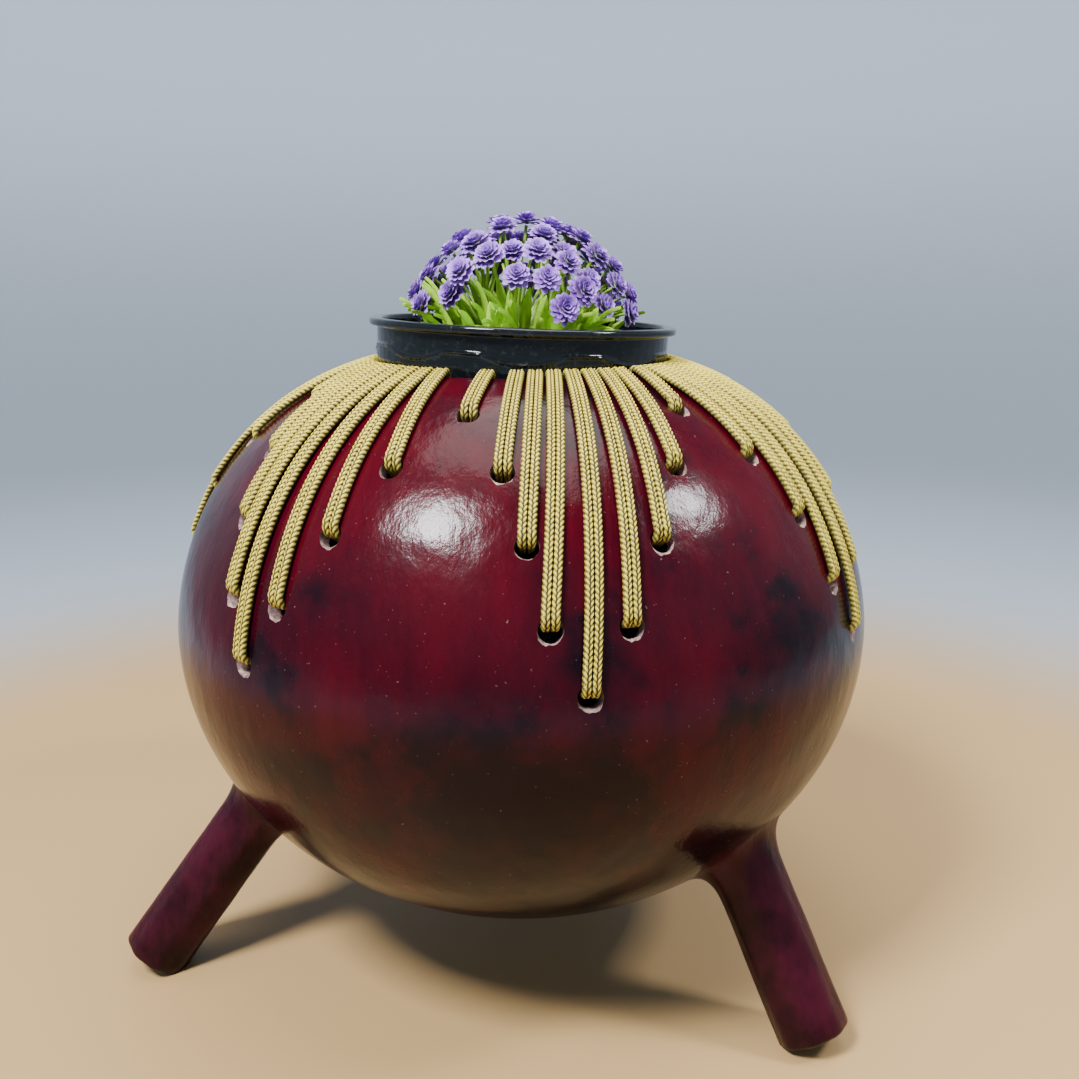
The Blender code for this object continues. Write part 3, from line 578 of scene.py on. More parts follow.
def braid_material():
    """Gold yarn with painted shade: it darkens down between its stitches and into its holes."""
    look = settings().lacing
    graph = Graph("gold_braid", Specular_IOR_Level=0.3)
    place = graph.place()
    wear = graph.grain(place, 120.0, 3.0, 0.6)
    fibre = graph.grain(place, 2600.0, 2.0, 0.6)
    share = (graph.named("relief") + (wear - 0.5) * 0.25 + (fibre - 0.5) * 0.30).step(0.26, 0.98)
    middle = [0.5 * (gold + groove_shade) for gold, groove_shade in zip(look.gold, look.groove_shade)]
    # Painted shade: the yarn darkens towards the groove shade where the plait's relief is low.
    colour = graph.ramp(share, (0.0, look.groove_shade), (0.45, middle), (1.0, look.gold))
    # Painted shade: the yarn darkens where it sinks into its holes.
    colour = graph.mix(graph.named("depth"), colour, (0.05, 0.028, 0.006))
    return graph.finish(fibre, 0.00012, Base_Color=colour, Roughness=0.72 + fibre * 0.1)


def plastic_material():
    """Thin glossy black plastic with faint flow marks and a little dust."""
    look = settings().pot
    graph = Graph("black_plastic", Specular_IOR_Level=0.3)
    place = graph.place()
    flow = graph.grain(graph.stretched(place, 2.0), 70.0, 3.0, 0.5)
    dust = graph.grain(place, 500.0, 3.0, 0.7).step(0.52, 0.80)
    colour = graph.mix(dust * 0.12, look.plastic, (0.12, 0.14, 0.14))
    return graph.finish(flow * 0.5 + dust * 0.02, 0.0006, Base_Color=colour, Roughness=0.09 + dust * 0.22)


def foam_material():
    """Crumbly floral foam, with painted shade that darkens it down between its crumbs."""
    look = settings().pot
    graph = Graph("floral_foam_crumb", Specular_IOR_Level=0.15, Roughness=0.95)
    crumb = graph.grain(graph.place(), 900.0, 3.0, 0.7)
    # Painted shade: the foam darkens where the crumb relief is low.
    colour = graph.mix(crumb.step(0.35, 0.7), scaled(look.foam, 0.35), look.foam)
    return graph.finish(crumb, 0.0006, Base_Color=colour)


def petal_material():
    """Violet cloth petals, pale at their edges and dark at their feet, with painted shade on their
    undersides.
    """
    look = settings().flowers
    graph = Graph("violet_petals", Specular_IOR_Level=0.35, Subsurface_Weight=0.12, Roughness=0.52,
                  Subsurface_Radius=(0.0009, 0.0006, 0.0014), Sheen_Weight=0.15)
    fine = graph.grain(graph.place(), 1500.0, 2.0, 0.6)
    share = graph.named("along") + (fine - 0.5) * 0.18 + (graph.named("tone") - 0.5) * 0.24
    colour = graph.ramp(share, (0.10, look.deep), (0.55, look.violet), (0.98, look.tip))
    return graph.finish(fine, 0.00008, Base_Color=colour)


def green_material():
    """Moulded green plastic, dark along the midrib and at the foot of a leaf."""
    look = settings().flowers
    graph = Graph("green_plastic", Specular_IOR_Level=0.5, Subsurface_Weight=0.15, Roughness=0.38,
                  Subsurface_Radius=(0.0012, 0.0016, 0.0004))
    mottle = graph.grain(graph.place(), 420.0, 3.0, 0.6)
    share = graph.named("along") + (mottle - 0.5) * 0.5 + (graph.named("tone") - 0.5) * 0.7
    pale = [min(1.0, 1.7 * part + 0.02) for part in look.leaf]
    blade = graph.mix(share.step(0.05, 1.0), look.leaf, pale)
    return graph.finish(mottle, 0.0003, Base_Color=graph.mix(graph.named("rib"), blade, look.stem))


def cove_material():
    """Pale floor that turns into a pale backdrop, with painted shade on the far floor and the foot of the
    backdrop.
    """
    look = settings().studio
    graph = Graph("pale_cove", Specular_IOR_Level=0.35, Roughness=0.55)
    place = graph.place()
    distance = graph.vector("LENGTH", place, (0.0, 0.0, 0.0), 1)
    # Painted shade: the far floor and the foot of the backdrop are darkened to under half the backdrop's
    # colour.
    painted_shade_and_backdrop = graph.mix(graph.height(place).step(0.0, 0.7), scaled(look.wall, 0.48), look.wall)
    graph.feed(graph.shader, {"Base_Color": graph.mix(distance.step(0.32, 0.62), look.table, painted_shade_and_backdrop)})
    return graph.material


def add_object(mesh):
    piece = bpy.data.objects.new(mesh.name, mesh)
    bpy.context.scene.collection.objects.link(piece)
    return piece


def keep(piece, materials, slot, node):
    """Dress a finished piece, let it ride on the part's only body and hide the solid it stands for."""
    if not piece.data.materials:
        for material in materials:
            piece.data.materials.append(material)
    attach(piece, "root")
    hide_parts(node)


def bake(piece):
    """Replace a piece's mesh by what its modifiers make of it."""
    bpy.context.view_layer.update()
    graph = bpy.context.evaluated_depsgraph_get()
    mesh = bpy.data.meshes.new_from_object(piece.evaluated_get(graph))
    piece.modifiers.clear()
    piece.data = mesh


def turned(name, profile, segments):
    """Spin a profile of (radius, height) points, inner side first and then down the outer side."""
    mesh = bpy.data.meshes.new(name)
    points = [(radius, 0.0, height) for radius, height in profile]
    mesh.from_pydata(points, [(i, i + 1) for i in range(len(points) - 1)], [])
    piece = add_object(mesh)
    spin = piece.modifiers.new("spin", "SCREW")
    spin.steps = segments
    spin.render_steps = segments
    spin.use_merge_vertices = True
    spin.merge_threshold = 0.00001
    bake(piece)
    return piece


def point_array(mesh):
    points = np.zeros(3 * len(mesh.vertices), np.float32)
    mesh.vertices.foreach_get("co", points)
    return points.reshape(-1, 3)


def store(mesh, name, values):
    """Store a number at each point of a mesh, for its material to read."""
    layer = mesh.attributes.new(name, "FLOAT", "POINT")
    layer.data.foreach_set("value", values.astype(np.float32))


def smooth(mesh, sharp_deg):
    """Shade a mesh smooth, apart from the edges that turn by more than an angle."""
    mesh.shade_smooth()
    mesh.set_sharp_from_angle(angle=math.radians(sharp_deg))


class Soup:
    """Points, faces and point values gathered from many small closed bodies into one mesh."""

    def __init__(self, *values):
        self.points = []
        self.faces = []
        self.values = {name: [] for name in values}
        self.count = 0

    def loft(self, rows, capped=True, **values):
        """Add a body lofted through rows of points, an array of rows by points by 3."""
        rows = np.asarray(rows)
        shape = rows.shape[:2]
        index = self.count + np.arange(shape[0] * shape[1]).reshape(shape)
        following = np.roll(index, -1, axis=1)
        quads = np.stack([index[:-1], following[:-1], following[1:], index[1:]], axis=-1).reshape(-1, 4)
        self.faces.extend(quads.tolist())
        if capped:
            self.faces.append(index[0][::-1].tolist())
            self.faces.append(index[-1].tolist())
        self.points.append(rows.reshape(-1, 3))
        for name, stored in self.values.items():
            stored.append(np.broadcast_to(values.get(name, 0.0), shape).reshape(-1))
        self.count += index.size

    def add_copy(self, model, place, size, **values):
        """Add all of another soup, resized and moved by a matrix. Its own values are kept."""
        points = size * np.concatenate(model.points) @ np.array(place.to_3x3()).T
        self.faces.extend([[corner + self.count for corner in face] for face in model.faces])
        self.points.append(points + np.array(place.translation))
        for name, stored in self.values.items():
            if name in model.values:
                stored.extend(model.values[name])
            else:
                stored.append(np.full(model.count, values.get(name, 0.0)))
        self.count += model.count

    def to_mesh(self, name, sharp_deg=50.0, mend=None):
        """Make the mesh, let a function mend its points and faces, and turn its faces outwards."""
        mesh = bpy.data.meshes.new(name)
        mesh.from_pydata(np.concatenate(self.points).tolist(), [], self.faces)
        for value_name, stored in self.values.items():
            store(mesh, value_name, np.concatenate(stored))
        shape = bmesh.new()
        shape.from_mesh(mesh)
        if mend:
            mend(shape)
        bmesh.ops.recalc_face_normals(shape, faces=shape.faces)
        shape.to_mesh(mesh)
        shape.free()
        smooth(mesh, sharp_deg)
        return mesh


def running_total(steps):
    return np.concatenate([[0.0], np.cumsum(steps)])


def around(azimuth_deg, radius, height):
    """The point at an azimuth, seen from the gourd's axis."""
    turn = math.radians(azimuth_deg)
    return Vector((radius * math.sin(turn), -radius * math.cos(turn), height))


def sideways(azimuth_deg):
    turn = math.radians(azimuth_deg)
    return Vector((math.cos(turn), math.sin(turn), 0.0))


def ring_angles(count):
    return [2.0 * math.pi * i / count for i in range(count)]


def spoke(angle):
    return Vector((math.cos(angle), math.sin(angle), 0.0))


def ring_noise(angle, waves, seed):
    """Smooth noise round a ring, which closes on itself."""
    return perlin.noise(Vector((waves * math.cos(angle), waves * math.sin(angle), seed)))


def curve(first, pull, last, share):
    """A point on the curve from first to last that leaves and arrives along the lines to pull."""
    return (1.0 - share) ** 2 * first + 2.0 * share * (1.0 - share) * pull + share ** 2 * last


def outer_radius(height):
    if height < EQUATOR_Z:
        drop = (EQUATOR_Z - height) / LOWER_HEIGHT
        return GOURD_RADIUS * math.sqrt(max(0.0, 1.0 - drop * drop))
    rise = (height - EQUATOR_Z) / SHOULDER_HEIGHT
    return GOURD_RADIUS * max(0.0, 1.0 - rise ** SHOULDER_POWER) ** (1.0 / SHOULDER_ROOT)


def skin_point(height):
    return Vector((outer_radius(height), height))


def outward(height):
    """The outward direction of the skin as (radial, up)."""
    if height < EQUATOR_Z:
        way = Vector((outer_radius(height) / GOURD_RADIUS ** 2, (height - EQUATOR_Z) / LOWER_HEIGHT ** 2))
        return way.normalized()
    slope = (outer_radius(height + SLOPE_STEP) - outer_radius(height - SLOPE_STEP)) / (2.0 * SLOPE_STEP)
    return Vector((1.0, -slope)).normalized()


def mouth_edges():
    """The mouth's upper and lower edges as (radius, height). It was sawn straight down."""
    narrowing = (MOUTH_RADIUS / GOURD_RADIUS) ** SHOULDER_ROOT
    top = EQUATOR_Z + SHOULDER_HEIGHT * (1.0 - narrowing) ** (1.0 / SHOULDER_POWER)
    bottom = top - SHELL_WALL / outward(top).y
    return Vector((MOUTH_RADIUS, top)), Vector((MOUTH_RADIUS, bottom))


def skin_points(rows):
    """Evenly spaced (radius, height) points down the skin, from the mouth's edge to the bottom pole."""
    top = mouth_edges()[0].y
    dense = []
    for i in range(CURVE_STEPS):
        height = top + (EQUATOR_Z - top) * i / CURVE_STEPS
        dense.append((outer_radius(height), height))
    for i in range(CURVE_STEPS + 1):
        angle = 0.5 * math.pi * i / CURVE_STEPS
        dense.append((GOURD_RADIUS * math.cos(angle), EQUATOR_Z - LOWER_HEIGHT * math.sin(angle)))
    dense = np.array(dense)
    lengths = running_total(np.linalg.norm(np.diff(dense, axis=0), axis=1))
    wanted = np.linspace(0.0, lengths[-1], rows + 1)
    picked = np.stack([np.interp(wanted, lengths, dense[:, i]) for i in (0, 1)], axis=-1)
    picked[-1] = (0.0, EQUATOR_Z - LOWER_HEIGHT)
    return [Vector(point) for point in picked]


def hole_places():
    """Azimuth and level of all the drilled holes, in order round the gourd."""
    places = []
    for fan in range(FAN_COUNT):
        steps = LEFT_STEPS_DEG if FAN_LEANS_DEG[fan] < 0.0 else HOLE_STEPS_DEG
        for step, level in zip(steps, HOLE_LEVELS):
            places.append((FIRST_HOLE_DEG + fan * FAN_PITCH_DEG + step, level))
    return places


def rim_azimuths():
    """Where each braid crosses the rim: each fan leans over, and crowded braids push each other apart."""
    spots = []
    for i, (azimuth, level) in enumerate(hole_places()):
        fan = i // FAN_HOLES
        lean = FAN_LEANS_DEG[fan]
        if level == 0:
            lean = 0.5 * (lean + FAN_LEANS_DEG[fan - 1])
        spots.append(azimuth + lean)
    count = len(spots)
    for _ in range(CROWDING_ROUNDS):
        for i in range(count):
            following = spots[(i + 1) % count] + (360.0 if i == count - 1 else 0.0)
            crowd = RIM_PITCH_DEG - (following - spots[i])
            if crowd > 0.0:
                spots[i] -= 0.5 * crowd
                spots[(i + 1) % count] += 0.5 * crowd
    return spots


def drill_frame(azimuth, level):
    """Matrix of a hole: its origin is on the skin, +Y runs up the skin and +Z out of it."""
    height = LEVEL_HEIGHTS[level]
    way = outward(height)
    along = around(azimuth, way.x, way.y)
    across = sideways(azimuth)
    turn = Matrix((across, along.cross(across), along)).transposed()
    return Matrix.Translation(around(azimuth, outer_radius(height), height)) @ turn.to_4x4()


def chipped_drills():
    """All the drills as one cutter, flared where the skin broke away along the lower lip of each hole."""
    draw = random.Random(CHIP_SEED)
    soup = Soup()
    for azimuth, level in hole_places():
        place = drill_frame(azimuth, level)
        size = draw.uniform(0.5, 1.15)
        side = draw.uniform(-0.5, 0.5)
        seed = draw.uniform(0.0, 50.0)
        rings = []
        for depth, flare in DRILL_RINGS:
            ring = []
            for angle in ring_angles(HOLE_SEGMENTS):
                low = max(0.0, -math.sin(angle + side))
                chip = max(LEAST_CHIP, low ** 1.5 * (0.85 + 1.1 * ring_noise(angle, 3.0, seed)))
                uneven = 1.0 + HOLE_UNEVENNESS * ring_noise(angle, 1.0, seed + 9.0)
                radius = HOLE_RADIUS * uneven + flare * CHIP_WIDTH * size * chip
                ring.append(place @ Vector((radius * math.cos(angle), radius * math.sin(angle), depth)))
            rings.append(ring)
        soup.loft(rings)
    mesh = soup.to_mesh("chipped_drills")
    mesh.polygons.foreach_set("material_index", [1] * len(mesh.polygons))
    return add_object(mesh)


def skin_normals(mesh):
    """Set exact normals on the lacquered skin, so that the holes leave no marks in its reflections."""
    points = point_array(mesh)
    heights = [float(height) for height in points[:, 2]]
    radii = np.hypot(points[:, 0], points[:, 1])
    ways = np.array([tuple(outward(height)) for height in heights])
    level = ways[:, :1] * points[:, :2] / np.maximum(radii, 1e-9)[:, None]
    exact = np.hstack([level, ways[:, 1:]])
    skin = np.array([outer_radius(height) for height in heights])
    lacquered = np.abs(radii - skin) < SKIN_TOLERANCE
    lacquered |= points[:, 2] < EQUATOR_Z - POLE_SHARE * LOWER_HEIGHT
    normals = []
    for face in mesh.polygons:
        stained = face.material_index == 0
        for corner in face.vertices:
            fits = stained and lacquered[corner] and exact[corner] @ np.array(face.normal) > 0.9
            normals.append(tuple(exact[corner]) if fits else (0.0, 0.0, 0.0))
    mesh.normals_split_custom_set(normals)


def leg_frame(azimuth, tilt, foot_radius):
    """Matrix of a leg: its own +Z runs from the foot's centre up the leg."""
    lean = math.radians(tilt)
    up = around(azimuth, -math.sin(lean), math.cos(lean))
    foot = around(azimuth, foot_radius, FOOT_CENTRE_Z)
    return Matrix.Translation(foot) @ up.to_track_quat("Z", "Y").to_matrix().to_4x4()


def paint_leg_reflections(mesh):
    """Store how near each point is to a leg, where painted reflection and shade of the leg darken the stain
    towards the leg's paint colour.
    """
    points = point_array(mesh)
    nearness = np.zeros(len(points))
    for _, *stance in LEGS:
        place = leg_frame(*stance)
        axis = np.array(place.col[2].xyz)
        offset = points - np.array(place.translation)
        apart = np.linalg.norm(offset - (offset @ axis)[:, None] * axis, axis=1)
        near = np.exp(-((np.maximum(apart - LEG_RADIUS, 0.0) / LEG_REFLECTION_REACH) ** 2))
        nearness = np.maximum(nearness, near * (points[:, 2] < EQUATOR_Z))
    store(mesh, "near_leg", nearness)


def shell_profile():
    """The shell's inner side from the bottom up, its sawn edge, and its outer side down to the bottom."""
    upper, lower = mouth_edges()
    inside = [point - SHELL_WALL * outward(point.y) for point in skin_points(INSIDE_ROWS)]
    inside = [point for point in inside if point.y < lower.y - 0.001 and point.x > 0.001]
    profile = [Vector((0.0, EQUATOR_Z - LOWER_HEIGHT + SHELL_WALL))] + inside[::-1] + [lower]
    profile.append(upper - Vector((0.0, 3.0 * RIM_ROUNDING)))
    slope = outward(upper.y)
    for share in RIM_SHARES:
        corner = upper - Vector((0.0, RIM_ROUNDING)) * (1.0 - share)
        profile.append(corner + Vector((slope.y, -slope.x)) * RIM_ROUNDING * share)
    skin = skin_points(SHELL_ROWS)
    return profile + [point for point in skin if (point - upper).length > 2.0 * RIM_ROUNDING]


class PLANTER_OT_shell(bpy.types.Operator):
    """Build the hollow shell with its sawn mouth and its drilled, chipped holes"""
    bl_idname = "planter.shell"
    bl_label = "Gourd shell"

    def execute(self, context):
        shell = turned("gourd_shell_fine", shell_profile(), SHELL_SEGMENTS)
        lower = mouth_edges()[1]
        for face in shell.data.polygons:
            middle = face.center
            inner = math.hypot(middle.x, middle.y) < outer_radius(middle.z) - 0.5 * SHELL_WALL
            face.material_index = 1 if inner and middle.z < lower.y else 0
        drills = chipped_drills()
        materials = [lacquer_material(), bare_wall_material()]
        for piece in (shell, drills):
            for material in materials:
                piece.data.materials.append(material)
        drilling = shell.modifiers.new("drilling", "BOOLEAN")
        drilling.operation = "DIFFERENCE"
        drilling.solver = "MANIFOLD"
        drilling.object = drills
        bake(shell)
        bpy.data.objects.remove(drills)
        smooth(shell.data, 40.0)
        skin_normals(shell.data)
        paint_leg_reflections(shell.data)
        shell.data.transform(GOURD_SEAT)
        keep(shell, materials, "gourd", "gourd_shell")
        return {"FINISHED"}


def section(azimuth, low, high, width):
    """A braid's cross-section: the middles of its near and its far side, and half its width sideways."""
    return (around(azimuth, low.x, low.y), around(azimuth, high.x, high.y), 0.5 * width * sideways(azimuth))


def hole_frame(level):
    """A function from (up the skin, out of it) to (radius, height), at a hole's middle."""
    height = LEVEL_HEIGHTS[level]
    out = outward(height)
    up = Vector((-out.y, out.x))
    return lambda rise, depth: skin_point(height) + rise * up + depth * out


def arc(azimuth, centre, near, far, first, last, width):
    """Cross-sections round an arc in an azimuth's plane. Angles are in radians from the radial direction."""
    count = max(2, int(abs(last - first) / math.radians(ARC_STEP_DEG)) + 1)
    rows = []
    for i in range(count + 1):
        angle = first + (last - first) * i / count
        ray = Vector((math.cos(angle), math.sin(angle)))
        rows.append(section(azimuth, centre + near * ray, centre + far * ray, width))
    return rows


def through_hole(azimuth, level):
    """Out of the hole and round its upper edge, to lie flat on the skin."""
    look = settings().lacing
    place = hole_frame(level)
    near = BRAID_IN_HOLE + 0.5 * look.thickness
    rows = []
    for depth in (-SHELL_WALL, -0.5 * SHELL_WALL):
        rows.append(section(azimuth, place(near, depth), place(near - look.thickness, depth), RIM_WIDTH))
    centre = place(near + HOLE_BEND, BRAID_GAP - HOLE_BEND)
    out = outward(LEVEL_HEIGHTS[level])
    last = math.atan2(out.y, out.x)
    first = last - 0.5 * math.pi
    return rows + arc(azimuth, centre, HOLE_BEND, HOLE_BEND + look.thickness, first, last, look.width)


def up_the_skin(azimuth, rim_azimuth, level):
    """The run from the hole to the saw cut. Taut braid turns faster where the gourd is narrower."""
    look = settings().lacing
    start = LEVEL_HEIGHTS[level] + RUN_START * outward(LEVEL_HEIGHTS[level]).x
    top = mouth_edges()[0].y
    heights = np.array([top - (top - start) * (1.0 - i / RUN_STEPS) ** 2 for i in range(RUN_STEPS + 1)])
    radii = np.array([outer_radius(height) for height in heights])
    steps = np.hypot(np.diff(radii), np.diff(heights))
    travel = running_total(steps)
    turning = running_total(steps / (0.5 * (radii[1:] + radii[:-1])) ** 2)
    rows = []
    count = max(2, int(travel[-1] / ROW_STEP))
    for i in range(1, count):
        length = travel[-1] * i / count
        height = float(np.interp(length, travel, heights))
        share = float(np.interp(length, travel, turning)) / turning[-1]
        out = outward(height)
        low = skin_point(height) + BRAID_GAP * out
        width = look.width + (RIM_WIDTH - look.width) * share ** 3
        turn = azimuth + (rim_azimuth - azimuth) * share
        rows.append(section(turn, low, low + look.thickness * out, width))
    return rows


def over_the_rim(rim_azimuth, target):
    """Round the mouth's upper edge, down the saw cut and round its lower edge, towards a target inside."""
    upper, lower = mouth_edges()
    slope = outward(upper.y)
    far = BRAID_GAP + settings().lacing.thickness
    rows = arc(rim_azimuth, upper, BRAID_GAP, far, math.atan2(slope.y, slope.x), math.pi, RIM_WIDTH)
    way = (target - lower).normalized()
    leave = math.atan2(-way.x, way.y) % (2.0 * math.pi)
    return rows + arc(rim_azimuth, lower, BRAID_GAP, far, math.pi, leave, RIM_WIDTH)


def inner_bend_place(level):
    """Where the braid turns into a hole from inside, on its side nearest the shell."""
    return hole_frame(level)(BRAID_IN_HOLE + 0.5 * settings().lacing.thickness, -SHELL_WALL - BRAID_GAP)


def into_hole(azimuth, level):
    """The mitred bend from the inner run into the hole."""
    near = inner_bend_place(level)
    run = (near - mouth_edges()[1]).normalized()
    out = outward(LEVEL_HEIGHTS[level])
    hole_side = Vector((out.y, -out.x))
    bisector = (Vector((run.y, -run.x)) + hole_side).normalized()
    reach = settings().lacing.thickness / bisector.dot(hole_side)
    return section(azimuth, near, near + reach * bisector, RIM_WIDTH)


def knot_profile():
    """Distance along the braid, half thickness and width of a knot, from the braid to its blunt end."""
    half_knot = 0.5 * KNOT_THICKNESS
    return (
        (0.0, 0.5 * settings().lacing.thickness, RIM_WIDTH),
        (KNOT_SHOULDER, half_knot, KNOT_WIDTH),
        (KNOT_LENGTH, half_knot, KNOT_WIDTH),
        (KNOT_LENGTH + KNOT_TAPER, KNOT_END * half_knot, KNOT_END * KNOT_WIDTH),
    )


def first_knot(azimuth, level):
    """The knot that stops the braid behind its first hole."""
    place = hole_frame(level)
    rows = []
    for length, half, width in reversed(knot_profile()):
        depth = -(SHELL_WALL + KNOT_CLEARANCE + length)
        low, high = place(BRAID_IN_HOLE + half, depth), place(BRAID_IN_HOLE - half, depth)
        rows.append(section(azimuth, low, high, width))
    return rows


def tail_way():
    """The direction of the tail inside the mouth, as (radial, up)."""
    drop = math.radians(TAIL_DROP_DEG)
    return Vector((math.cos(drop), -math.sin(drop)))


def last_knot(rim_azimuth):
    """The tail that hangs inside the mouth and ends in a knot."""
    way = tail_way()
    away = Vector((way.y, -way.x))
    middle = mouth_edges()[1] + (BRAID_GAP + 0.5 * settings().lacing.thickness) * away
    rows = []
    for length, half, width in knot_profile():
        centre = middle + (TAIL_LENGTH + length) * way
        rows.append(section(rim_azimuth, centre - half * away, centre + half * away, width))
    return rows


def fan_route(holes, rims):
    """Cross-sections of one length of braid, from the knot behind its first hole to the knot on its tail."""
    rows = []
    for number, ((azimuth, level), rim_azimuth) in enumerate(zip(holes, rims)):
        rows += [into_hole(azimuth, level)] if number else first_knot(azimuth, level)
        rows += through_hole(azimuth, level) + up_the_skin(azimuth, rim_azimuth, level)
        if number < FAN_HOLES - 1:
            rows += over_the_rim(rim_azimuth, inner_bend_place(HOLE_LEVELS[number + 1]))
    return rows + over_the_rim(rims[-1], mouth_edges()[1] + tail_way()) + last_knot(rims[-1])


def plait(rows, soup):
    """Loft a length of plaited braid through cross-sections, with two lobes and four columns of stitches."""
    low, high, side = [np.array([row[i] for row in rows])[:, None, :] for i in range(3)]
    thick = high - low
    middle = 0.5 * (low + high)[:, 0]
    travel = running_total(np.linalg.norm(np.diff(middle, axis=0), axis=1))
    across = np.linspace(-1.0, 1.0, TOP_POINTS)
    column = np.minimum(np.abs(across) * 2.0, 1.9999)
    share = column % 1.0
    slant = np.where(column < 1.0, STITCH_SLANT, -STITCH_SLANT)
    phase = travel[:, None] / settings().lacing.stitch + slant * (share - 0.5) + 0.5 * (column >= 1.0)
    stitch = (0.5 + 0.5 * np.cos(2.0 * math.pi * phase)) ** STITCH_FULLNESS
    edge = np.abs(across) > 0.999
    bulge = np.sqrt(np.clip(1.0 - (2.0 * share - 1.0) ** 2, 0.0, 1.0))
    bulge = np.where(edge, EDGE_BULGE, bulge)
    relief = bulge * (GROOVE_RELIEF + (1.0 - GROOVE_RELIEF) * stitch)
    lobe = np.sqrt(np.clip(1.0 - (2.0 * np.abs(across) - 1.0) ** 2, 0.0, 1.0)) ** STITCH_FULLNESS
    rise = (SIDE_RISE + LOBE_RISE * lobe)[:, None]
    top = low + rise * thick + TOP_SPREAD * across[:, None] * side
    top = top + RELIEF_HEIGHT * relief[:, :, None] * thick / np.linalg.norm(thick, axis=2, keepdims=True)
    top = top + EDGE_RELIEF * relief[:, :, None] * np.where(edge, np.sign(across), 0.0)[:, None] * side
    back = low + BACK_RISE * thick + np.linspace(BACK_SPREAD, -BACK_SPREAD, BACK_POINTS)[:, None] * side
    # The relief also sets the yarn's colour, a painted shade where it is low, and the back takes a fixed low
    # tone.
    tone = np.concatenate([relief, np.full((len(rows), BACK_POINTS), BACK_RELIEF)], axis=1)
    radius = np.hypot(middle[:, 0], middle[:, 1])
    sunk = np.array([outer_radius(float(height)) for height in middle[:, 2]]) - radius
    # Painted shade: how far the braid sinks below the skin, which darkens it in the holes.
    depth = np.clip((sunk + SHADE_START) / SHADE_REACH, 0.0, DEEPEST_SHADE) * (radius >= MOUTH_RADIUS)
    soup.loft(np.concatenate([top, back], axis=1), relief=tone, depth=depth[:, None])


class PLANTER_OT_lacing(bpy.types.Operator):
    """Plait the seven lengths of flat braid through the holes and over the rim"""
    bl_idname = "planter.lacing"
    bl_label = "Lacing"

    def execute(self, context):
        material = braid_material()
        holes = hole_places()
        rims = rim_azimuths()
        for fan in range(FAN_COUNT):
            own = slice(fan * FAN_HOLES, (fan + 1) * FAN_HOLES)
            soup = Soup("relief", "depth")
            plait(fan_route(holes[own], rims[own]), soup)
            mesh = soup.to_mesh("braid_%d" % (fan + 1), 80.0)
            mesh.transform(GOURD_SEAT)
            keep(add_object(mesh), [material], "braid", "lacing_fan_%d" % (fan + 1))
        return {"FINISHED"}


def skin_distance(start, way, limit):
    """How far a point goes along a way before it crosses the gourd's skin."""
    def inside(point):
        return math.hypot(point.x, point.y) < outer_radius(point.z)

    begins_inside = inside(start)
    low, high = 0.0, limit
    for _ in range(30):
        middle = 0.5 * (low + high)
        low, high = (middle, high) if inside(start + middle * way) == begins_inside else (low, middle)
    return low


def on_skin(point):
    """The skin's point on the line from the gourd's middle to a point."""
    way = (point - GOURD_MIDDLE).normalized()
    return GOURD_MIDDLE + skin_distance(GOURD_MIDDLE, way, 0.2) * way


def dowel_radius(angle, seed):
    """Radius of a hand-rounded dowel, which keeps faint flats."""
    return LEG_RADIUS - DOWEL_TRIM + WHITTLE * math.cos(FLATS * angle + seed)


def stand_flat(shape):
    """Cut a leg level where it stands, and close the cut."""
    everything = shape.verts[:] + shape.edges[:] + shape.faces[:]
    bmesh.ops.bisect_plane(shape, geom=everything, plane_co=(0, 0, 0), plane_no=(0, 0, 1), clear_inner=True)
    bmesh.ops.contextual_create(shape, geom=[edge for edge in shape.edges if edge.is_boundary])


def close_ring(shape):
    """Join the last row of a ring of rows to its first."""
    bmesh.ops.remove_doubles(shape, verts=shape.verts, dist=PUTTY_SEAM)


def make_dowel(name, place, seed):
    """The leg from its rounded foot up to the gourd's skin, cut flat where it stands."""
    axis = place.col[2].xyz.normalized()
    rows = []
    for height, inset in FOOT_RINGS:
        ring = []
        for angle in ring_angles(LEG_SEGMENTS):
            radius = dowel_radius(angle, seed) - inset
            ring.append(place @ (radius * spoke(angle) + Vector((0.0, 0.0, height))))
        rows.append(ring)
    bottom = FOOT_RINGS[-1][0]
    for row in range(1, LEG_ROWS + 1):
        share = row / LEG_ROWS
        ring = []
        for angle in ring_angles(LEG_SEGMENTS):
            wave = LEG_WAVINESS * ring_noise(angle, 2.0, 6.0 * share + seed)
            start = place @ ((dowel_radius(angle, seed) + wave) * spoke(angle))
            top = skin_distance(start, axis, LEG_REACH) + LEG_SINK
            ring.append(start + (bottom + (top - bottom) * share) * axis)
        rows.append(ring)
    soup = Soup()
    soup.loft(rows)
    return soup.to_mesh(name, 35.0, stand_flat)


